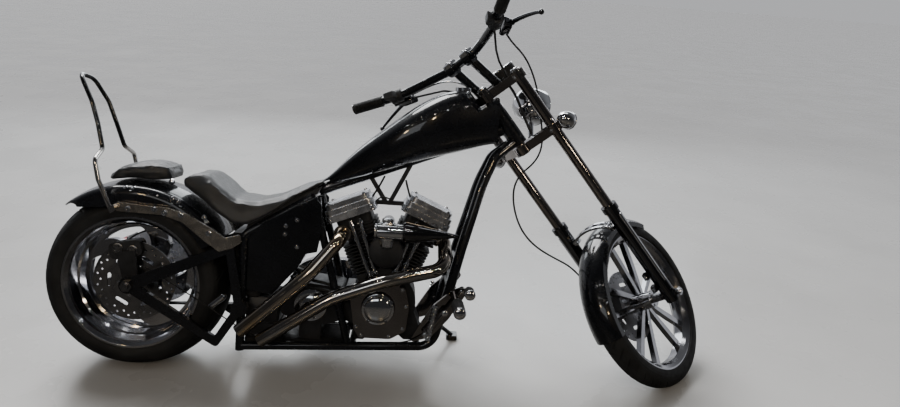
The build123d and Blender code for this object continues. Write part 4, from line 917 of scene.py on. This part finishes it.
def makeLamps(values, signals, forms):
    turn = radians(layout["rake"])
    way = Vector((cos(turn), 0, -sin(turn)))
    centre, stalk = Vector(values["centre"]), Vector(values["stalk"])
    front = centre + way * values["front"]
    glass = domeProfile(values["radius"] - 1, values["bulge"], 12, 0.6)
    turnedPiece("headlamp_ring", [(forms["ring"], 72, front, way)], "chrome", "steering")
    turnedPiece("headlamp_glass", [(glass, 72, front, way)], "clearLens", "steering", 50)
    turnedPiece("headlamp_reflector", [(forms["bowl"], 48, front, way)], "chrome", "steering")
    glasses, rims, bullets = [], [], []
    for side in sides:
        spot = Vector((0, side * signals["across"], signals["height"]))
        face = spot + way * signals["front"]
        foot = (0, side * signals["footAcross"], signals["footHeight"])
        glasses.append((domeProfile(signals["radius"], 6, 8, 0.4), 40, face, way))
        rims.append((forms["signalRim"], 40, face, way))
        bullets += [(forms["bullet"], 48, spot, way), (forms["signalStem"], 24, foot, (0, side, 0))]
    turnedPiece("signal_glasses", glasses, "amberLens", "steering", 50)
    turnedPiece("signal_rims", rims, "chrome", "steering")
    shell = [(forms["shell"], 72, centre, way), (forms["stem"], 24, stalk, centre - stalk)]
    turnedPiece("headlamp_shell", shell, "chrome", "steering", 40, ("headlamp",))
    turnedPiece("signal_shells", bullets, "chrome", "steering", 40, ("turn_signals",))


makeLamps(lampLook, signalLook, lampForms)

# Gauge: a black dial with plain marks, a needle and a bright ring, its face up the fork
gaugeLook = {
    "centre": (112, 0, 1092), "radius": 54, "marks": 13, "sweep": 260, "needle": -64,
    "rim": ((-4, 58.5), (0.5, 58.5), (1.4, 57.4), (1.4, 55.6), (0.4, 54.5)),
    "boss": ((0.4, 6), (2.0, 6), (2.6, 4), (2.6, 1)),
}


# A flat bar on the dial, at a turn and a reach from its middle
def dialBar(centre, turn, reach, rise, long, wide, thick):
    along = Vector((cos(turn), sin(turn), 0))
    across = Vector((0, 0, 1)).cross(along) * wide / 2
    middle = Vector(centre) + along * reach + Vector((0, 0, rise))
    points = []
    for level in (0, thick):
        for a, b in ((-1, -1), (1, -1), (1, 1), (-1, 1)):
            points.append(middle + a * along * long / 2 + b * across + Vector((0, 0, level)))
    faces = [(0, 1, 2, 3), (4, 5, 6, 7), (0, 1, 5, 4), (1, 2, 6, 5), (2, 3, 7, 6), (3, 0, 4, 7)]
    return [tuple(point) for point in points], faces


def makeGauge(values):
    centre, radius, up = values["centre"], values["radius"], (0, 0, 1)
    face = ((0.0, radius + 1), (0.25, radius), (0.3, radius - 4), (0.3, 1))
    turnedPiece("gauge_face", [(face, 72, centre, up)], "rubber", "steering")
    marks = []
    for index in range(values["marks"]):
        turn = radians(values["sweep"] * (index / (values["marks"] - 1) - 0.5))
        long, wide = (7, 1.2) if index % 4 == 0 else (4, 0.7)
        marks.append(dialBar(centre, turn, radius - 5 - long / 2, 0.4, long, wide, 0.3))
    marks.append(dialBar(centre, radians(values["needle"]), 14, 0.9, 52, 2.0, 0.5))
    meshPiece("gauge_marks", joined(marks), "enamel", "steering", 30)
    bright = [(values["rim"], 72, centre, up), (values["boss"], 24, centre, up)]
    turnedPiece("gauge_ring", bright, "chrome", "steering")


makeGauge(gaugeLook)
print("lamps and gauge made")

# Boxes and pans under the seat, and a dark plate that darkens the gap under the gearbox: rows of (height, inset),
# half sizes, corner and place
boxForms = {
    "battery_box": (
        (
            (0, 5), (4, 0), (40, 0), (43, 3), (52, 3), (55, 0), (120, 0), (123, 3), (132, 3), (135, 0),
            (196, 0), (199, 4), (203, 4), (206, -1), (228, -1), (236, 6),
        ),
        56, 94, 14, (398, 0, 296),
    ),
    "lower_tray": (
        ((0, 6), (4, 0), (60, 0), (63, 3), (70, 3), (73, 0), (150, 0), (160, 6)),
        62, 88, 16, (462, 0, 136),
    ),
    # A dark plate that darkens the gap under the gearbox
    "dark_gap_plate": (((0, 4), (3, 0), (26, 0), (30, 5)), 188, 104, 12, (592, 0, 116)),
}

# Plates cut to an outline: the seat pan narrows forwards, the side covers stand at the oil tank's sides
panLook = {
    "outline": [(392, 540), (470, 590), (560, 644), (640, 690), (652, 716), (560, 676), (470, 610), (404, 574)],
    "back": (392, 108),
    "front": (640, 56),
}
wingLook = {
    "outline": [
        (408, 328), (408, 545), (470, 586), (560, 640), (640, 684), (664, 658),
        (668, 560), (655, 484), (612, 474), (590, 424), (500, 316),
    ],
    "inner": 110,
    "outer": 118.4,
}
capLook = {"rows": ((0, 2), (2, 0), (18, 0), (22.5, 4)), "place": (-75, 45, 1206)}
hornForm = ((0, 60), (4, 63), (30, 63), (37, 59), (43, 46), (46, 22), (47, 2))


def makeBoxes(boxes, pan, wing, caps):
    (backX, backHalf), (frontX, frontHalf) = pan["back"], pan["front"]

    def panHalf(x):
        return backHalf + (frontHalf - backHalf) * (x - backX) / (frontX - backX)

    def box(name):
        *sizes, place = boxes[name]
        meshPiece(name, stacked(*sizes, Matrix.Translation(place)), "plastic", "frame")

    box("battery_box")
    meshPiece("seat_pan", plate(pan["outline"], lambda x: -panHalf(x), panHalf), "plastic", "frame")
    box("lower_tray")
    # The dark plate that darkens the gap under the gearbox
    box("dark_gap_plate")
    inner, outer = wing["inner"], wing["outer"]
    wings = [plate(wing["outline"], lambda x: -outer, lambda x: -inner)]
    wings.append(plate(wing["outline"], lambda x: inner, lambda x: outer))
    meshPiece("side_covers", joined(wings), "paint", "frame")
    x, y, z = caps["place"]
    lids = [stacked(caps["rows"], 25, 20, 6, Matrix.Translation((x, side * y, z))) for side in sides]
    meshPiece("riser_caps", joined(lids), "chrome", "steering")


makeBoxes(boxForms, panLook, wingLook, capLook)
turnedPiece("horn_cover", [(hornForm, 56, (905, -100, 505), (0, -1, 0))], "castBlack", "frame", 35)

# Fork brace: two arched rails close over the fender, joined by cross pieces, and a rib down each slider
braceLook = {
    "foot": 99, "footZ": 346, "crown": 374, "rail": 15, "railHalf": 5.5, "thick": 9, "links": (-74, -38, 0, 38, 74),
    "section": ((-1, 0.2), (-0.8, 0), (0.8, 0), (1, 0.2), (1, 0.8), (0.8, 1), (-0.8, 1), (-1, 0.8)),
    "linkRows": ((0.5, 1), (1.5, 0), (7.5, 0), (8.5, 1)),
    "footRows": ((0, 2), (2, 0), (15, 0), (17, 2)),
    "rib": ((0, 2), (3, 7), (325, 7), (328, 2)),
}


def archHeight(values, y):
    return values["crown"] - (values["crown"] - values["footZ"]) * (abs(y) / values["foot"]) ** 2


def makeBrace(values):
    parts = []
    half, thick = values["railHalf"], values["thick"]
    for centre in (-values["rail"], values["rail"]):
        loops = []
        for step in range(25):
            y = values["foot"] * (step / 12 - 1)
            low = archHeight(values, y)
            loops.append([(centre + half * a, y, low + thick * b) for a, b in values["section"]])
        parts.append(layered(loops))
    for y in values["links"]:
        place = Matrix.Translation((0, y, archHeight(values, y)))
        parts.append(stacked(values["linkRows"], values["rail"], 7, 2, place))
    for side in sides:
        place = Matrix.Translation((0, side * 90, values["footZ"] - 8))
        parts.append(stacked(values["footRows"], 20, 9, 4, place))
    meshPiece("brace_rails", joined(parts), "chrome", "steering", 35, ("fork_brace",))
    ribs = [(values["rib"], 16, (-6, side * 149, 66), (0, 0, 1)) for side in sides]
    turnedPiece("slider_ribs", ribs, "chrome", "steering", 35)


makeBrace(braceLook)

# Polished ends of the footrests and pedals, and the pedals' return springs
# caps: x, y, z, radius; y is mirrored to the left
footLook = {
    "caps": (
        (1172, -332, 350, 22), (1204, -316, 412, 19), (1132, -176, 300, 12), (1068, -176, 214, 13),
        (1190, -170, 384, 10),
    ),
    "springLow": (1076, -178, 196),
    "springHigh": (1100, -178, 330),
    "coils": 10,
    "pitch": 12,
}


def makeFootBright(values):
    rows = []
    for side in (1, -1):
        for x, y, z, radius in values["caps"]:
            rows.append((domeProfile(radius, radius * 0.45, 8), 32, (x, side * y, z), (0, -side, 0)))
        low, high = onSide(side, values["springLow"]), onSide(side, values["springHigh"])
        profile = [(0, 9), (6, 9)]
        for coil in range(values["coils"]):
            at = coil * values["pitch"]
            profile += [(at + 8, 6), (at + 11, 9.5), (at + 14, 9.5), (at + 17, 6)]
        rows.append((profile + [(128, 9), (134, 9)], 24, low, (high - low).normalized()))
    turnedPiece("foot_fittings", rows, "chrome", "frame", 35)


makeFootBright(footLook)

# Handlebar controls: clamped housings, reservoirs with lids, and blade levers with ball ends
controlLook = {
    "hold": (-160, 275, 1243), "inner": (-140, 238, 1232), "outer": (-180, 312, 1256), "over": (0.76, 0, -0.65),
    "collar": ((-24, 3), (-22, 0), (-3, 0), (-2, 1.4), (2, 1.4), (3, 0), (22, 0), (24, 3)),
    "switch": ((-16, 3), (-13, 0), (4, 0), (5, 1), (7, 1), (8, 0), (14, 0), (16, 3)),
    "button": ((15, 0), (19, 0.4), (20, 1.4)),
    "pot": ((-18, 3), (-15, 0), (6, 0), (7, 1.5), (9, 1.5), (10, -1), (16, -1), (18, 2)),
    "piston": ((0, 13), (6, 13), (7, 11), (20, 11), (22, 8)),
    "pivot": ((-9, 6), (-8, 8), (8, 8), (9, 6)),
}


def blade(start, middle, end, wide, thick, overWay, count=14):
    loops = []
    for step in range(count + 1):
        share = step / count
        spot = start * (1 - share) ** 2 + middle * 2 * share * (1 - share) + end * share**2
        along = ((middle - start) * (1 - share) + (end - middle) * share).normalized()
        across = along.cross(overWay).normalized()
        over = across.cross(along)
        half, high = wide * (1 - 0.45 * share), thick * (1 - 0.2 * share)
        turns = [2 * pi * index / 12 for index in range(12)]
        loops.append([spot + across * half * cos(turn) + over * high * sin(turn) for turn in turns])
    return layered(loops)


def ball(centre, radius, count=20):
    rows = [(-radius * cos(pi * step / 10), max(radius * sin(pi * step / 10), 0.2)) for step in range(11)]
    return turned(rows, count, centre, (0, 1, 0))


def makeBarControls(values):
    housings, reservoirs, levers = [], [], []
    over = Vector(values["over"])
    for side in sides:
        hold, inner, outer = (onSide(side, values[key]) for key in ("hold", "inner", "outer"))
        along = (outer - inner).normalized()
        upright = over.normalized()
        axes = Matrix((along, upright.cross(along).normalized(), upright)).transposed().to_4x4()
        collar = [(at + 24, 25 - inset) for at, inset in values["collar"]]
        housings.append(turned(collar, 32, hold - along * 24, along))
        switch = Matrix.Translation(hold - Vector((26, 0, -14))) @ axes
        housings.append(stacked(values["switch"], 21, 16, 6, switch))
        for spot in (-9, 9):
            housings.append(stacked(values["button"], 5, 4, 2, switch @ Matrix.Translation((spot, 0, 0))))
        pot = Matrix.Translation(hold + Vector((38, 0, -34))) @ axes
        reservoirs.append(stacked(values["pot"], 30, 15, 7, pot))
        reservoirs.append(turned(values["piston"], 28, pot @ Vector((side * 30, 0, -4)), side * along))
        pivot = hold + Vector((46, side * 20, -36))
        knee = hold + Vector((34, side * 92, -44))
        tip = hold + Vector((-8, side * 158, -66))
        levers.append(turned(values["pivot"], 24, pivot, upright))
        levers.append(blade(pivot, knee, tip, 10, 6, over))
        levers.append(ball(tip, 9.6))
    meshPiece("bar_housings", joined(housings), "castBlack", "steering", 35, ("bar_controls",))
    meshPiece("bar_reservoirs", joined(reservoirs), "darkChrome", "steering", 35)
    meshPiece("bar_levers", joined(levers), "darkChrome", "steering", 45)


makeBarControls(controlLook)
print("boxes and controls made")

# Round covers: a dome on the cam cover, a stepped one on the clutch, the front pulley's and the gearbox's
coverForms = (
    (
        ((0, 59), (2, 59), (3, 57), (3.2, 50), (6, 47), (9, 40), (11.5, 28), (13, 14), (13.4, 2)),
        72, (889, -137.5, 289), (0, -1, 0),
    ),
    (
        ((0, 77), (2.5, 77), (4, 74), (4, 66), (6, 62), (8.5, 44), (9.6, 24), (10, 3)),
        72, (640, 229.5, 270), (0, 1, 0),
    ),
    (((0, 60), (3, 60), (4.5, 57), (4.8, 40), (6.5, 36), (7, 10), (7, 2)), 72, (905, 217.5, 300), (0, 1, 0)),
    (((0, 60), (3, 60), (4, 56), (4, 40), (7, 36), (8, 12), (8, 2)), 72, (640, -98, 280), (0, -1, 0)),
)
turnedPiece("round_covers", coverForms, "chrome", "frame", 35)
domeRows = ringRows(889, -140.5, 289, 54, 5, 4, -1, 18) + ringRows(640, 233.5, 270, 70, 6, 4, 1, 10)
domeRows += ringRows(640, -101, 280, 50, 5, 4, -1, 0)
screws("dome_bolts", domeRows, "frame", 0.6, "steel")

# Carburettor between the barrels: a bowl, a dashpot and a bell mouth on the right
carbForms = (
    (((0, 27), (4, 27), (5, 24), (30, 22), (36, 17), (38, 6)), 48, (905, -150, 560), (0, 0, -1)),
    (((0, 25), (3, 25), (4, 21), (14, 21), (18, 17), (20, 5)), 48, (905, -150, 614), (0, 0, 1)),
    (((0, 33), (4, 33), (5, 29), (9, 28), (10, 18), (10, 3)), 48, (905, -172, 586), (0, -1, 0)),
    (((0, 26), (3, 27), (7, 27), (8, 23), (8, 4)), 48, (868, -168, 586), (-1, 0, 0)),
)
turnedPiece("carburettor", carbForms, "satinAlloy", "frame", 35)

# Rubber sleeves on the footrests and the right pedal, each with raised bands
# columns: sides, start x, y, z, end y, radius, bands
pegSleeves = (
    (1, 1172, -222, 350, -332, 22, 9),
    (1, 1204, -268, 412, -317, 18.4, 4),
    (-1, 1172, -222, 350, -332, 22, 9),
)


def makePegs(table):
    rows = []
    for side, x, y, z, endY, radius, bands in table:
        start, end = onSide(side, (x, y, z)), onSide(side, (x, endY, z))
        long = (end - start).length
        profile = [(0, radius - 3), (0.5, radius - 1)]
        pitch = long / bands
        for band in range(bands):
            at = band * pitch
            profile += [(at + pitch * 0.15, radius), (at + pitch * 0.6, radius)]
            profile += [(at + pitch * 0.7, radius - 1.4), (at + pitch * 0.95, radius - 1.4)]
        profile += [(long, radius - 2), (long + 0.5, radius - 8)]
        rows.append((profile, 40, start, (end - start).normalized()))
    turnedPiece("peg_rubbers", rows, "rubber", "frame")


makePegs(pegSleeves)

# Held lines: plug leads, oil lines and looms, then the brake hose from the right master cylinder, past the stem,
# to the front caliper, and the steering's own; columns: name, body, radius, finish, route
heldLines = (
    ("front_plug_lead", "frame", 3.8, "rubber", (
        (1010, -84, 588), (1022, -104, 600), (1012, -92, 640), (976, -40, 700), (960, -20, 760),
    )),
    ("rear_plug_lead", "frame", 3.8, "rubber", (
        (800, -84, 588), (786, -104, 604), (800, -92, 650), (850, -40, 700), (880, -20, 770),
    )),
    ("mount_cable", "frame", 3.0, "rubber", (
        (905, -60, 690), (880, -66, 700), (858, -60, 690), (848, -40, 660), (850, -20, 640),
    )),
    ("oil_feed", "frame", 6.0, "rubber", (
        (560, -70, 380), (600, -96, 340), (660, -104, 350), (740, -100, 330), (800, -96, 300),
    )),
    ("oil_return", "frame", 6.0, "rubber", (
        (575, -50, 400), (620, -90, 372), (680, -100, 372), (750, -96, 350), (812, -92, 330),
    )),
    ("frame_loom", "frame", 5.0, "rubber", (
        (1322, -34, 930), (1300, -52, 900), (1264, -72, 800), (1224, -92, 690), (1190, -104, 560), (1168, -108, 470),
    )),
    ("brake_pipe", "frame", 2.4, "rubber", (
        (1080, -160, 224), (1040, -150, 180), (900, -134, 150), (640, -134, 136), (420, -134, 150),
        (340, -150, 240), (60, -146, 400),
    )),
    ("brake_hose_line", "steering", 3.5, "rubber", (
        (-116, -254, 1205), (-72, -226, 1180), (-20, -196, 1140), (42, -168, 1104), (92, -138, 1056),
        (106, -116, 1000), (92, -100, 942), (60, -88, 888), (32, -68, 834), (18, -44, 782), (-24, -22, 744),
        (-90, -6, 734), (-168, 6, 744), (-244, 16, 724), (-296, 26, 664), (-312, 40, 594), (-296, 50, 522),
        (-252, 60, 450), (-194, 70, 376), (-140, 82, 310), (-120, 90, 244), (-112, 90, 178),
    )),
    ("neck_loom", "steering", 5.5, "rubber", (
        (40, -38, 1060), (52, -40, 1010), (30, -44, 950), (-10, -46, 890), (-30, -48, 830),
    )),
    ("clutch_cable", "steering", 3.2, "alloy", (
        (-124, 240, 1214), (-104, 196, 1206), (-84, 130, 1196), (-60, 70, 1160), (-36, 50, 1090),
    )),
    ("lamp_lead", "steering", 3.2, "rubber", ((96, -10, 890), (70, -20, 870), (30, -24, 840), (0, -26, 822))),
)
for name, body, radius, finish, route in heldLines:
    line = strand(name, body, radius, finish, route)
    if name == "brake_hose_line":
        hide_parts("brake_hose")
print("lines made")

# Bolts of the front end
forkScrews = [(0, side * 170, 0, 0, side, 0, 12) for side in sides]
forkScrews += [(-30, side * 125, z, -1, 0, 0, 6) for side in sides for z in (803, 1042)]
forkScrews += [(0, side * 125, 1062, 0, 0, 1, 14) for side in sides]
forkScrews += [(-65, 0, 1072, 0, 0, 1, 15)]
forkScrews += [(-75, side * 45 + offset, 1228, 0, 0, 1, 6) for side in sides for offset in (-9, 9)]
forkScrews += [(-45, side * 105, z, -1, 0, 0, 5) for side in sides for z in (60, 120)]
screws("fork_bolts", forkScrews, "steering", 0.7)

# Disc and hub bolts of each wheel
rearWheelScrews = ringRows(0, -82.5, 0, 55, 6, 6, -1, 12) + ringRows(0, 164.5, 0, 56, 6, 6, 1, 30)
frontWheelScrews = ringRows(0, 67.5, 0, 44, 6, 5, 1, 12) + ringRows(0, -52.5, 0, 26, 5, 4, -1, 12)
screws("rear_disc_bolts", rearWheelScrews, "rear_wheel", 0.7)
screws("front_disc_bolts", frontWheelScrews, "front_wheel", 0.7)
print("bolts made")

# Piston covers on the caliper faces
pistonForm = ((0, 19), (1.5, 19), (2.5, 17), (2.5, 13), (1.6, 12), (1.6, 2))
rearPistons = [(pistonForm, 36, place, (0, -1, 0)) for place in ((-52, -107, 451), (0, -107, 446))]
frontPistons = [(pistonForm, 36, place, (0, 1, 0)) for place in ((-124, 91, 92), (-80, 91, 50))]
turnedPiece("rear_pistons", rearPistons, "steel", "frame")
turnedPiece("front_pistons", frontPistons, "steel", "steering")

# Knob at the pad's front and the bright canister low on the right
brightForms = (
    (((0, 6), (5, 6), (6, 10), (12, 11), (16, 8), (17, 2)), 32, (127, -78, 700), (0, -1, 0.15)),
    (((0, 9), (2, 12), (62, 12), (64, 9), (70, 7), (71, 2)), 32, (285, -130, 262), (52, 0, 46)),
)
turnedPiece("bright_fittings", brightForms, "chrome", "frame", 35)


# Pale studio floor with a faint polish; polished parts see it darker, a painted dark reflection, and more so on the
# camera's side
floorLook = {
    "half": 200.0, "low": (0.60, 0.595, 0.585), "high": (0.68, 0.675, 0.665),
    "mirrored": (0.1, 0.094, 0.086), "mirroredBehind": (0.5, 0.5, 0.5), "behind": (0.1, 1.2),
}


def makeFloor(values):
    mesh = bpy.data.meshes.new("floor")
    half = values["half"]
    mesh.from_pydata([(-half, -half, 0), (half, -half, 0), (half, half, 0), (-half, half, 0)], [], [(0, 1, 2, 3)])
    made = Finish("floor_finish", {"Specular IOR Level": 0.45})
    plain = made.tones((0.9, 5, 0.6), values["low"], values["high"])
    # Painted reflection: glossy rays see the floor in a darker tone, darkest on the camera's side
    across = made.node("SeparateXYZ", {0: made.place}, "Y")
    behind = made.spread(across, 0, 1, *values["behind"])
    seen = made.blend(behind, values["mirrored"], values["mirroredBehind"])
    mirrored = made.node("LightPath", {}, "Is Glossy Ray")
    made.link(made.blend(mirrored, plain, made.blend(1.0, plain, seen, "MULTIPLY")), "Base Color")
    made.gloss((2.2, 5), 0.22, 0.34)
    mesh.materials.append(made.material)
    added("floor", mesh)


makeLights(softBoxes, glintLook, sunLook)
makeSky(skyLook)
makeFloor(floorLook)
print("stage set")
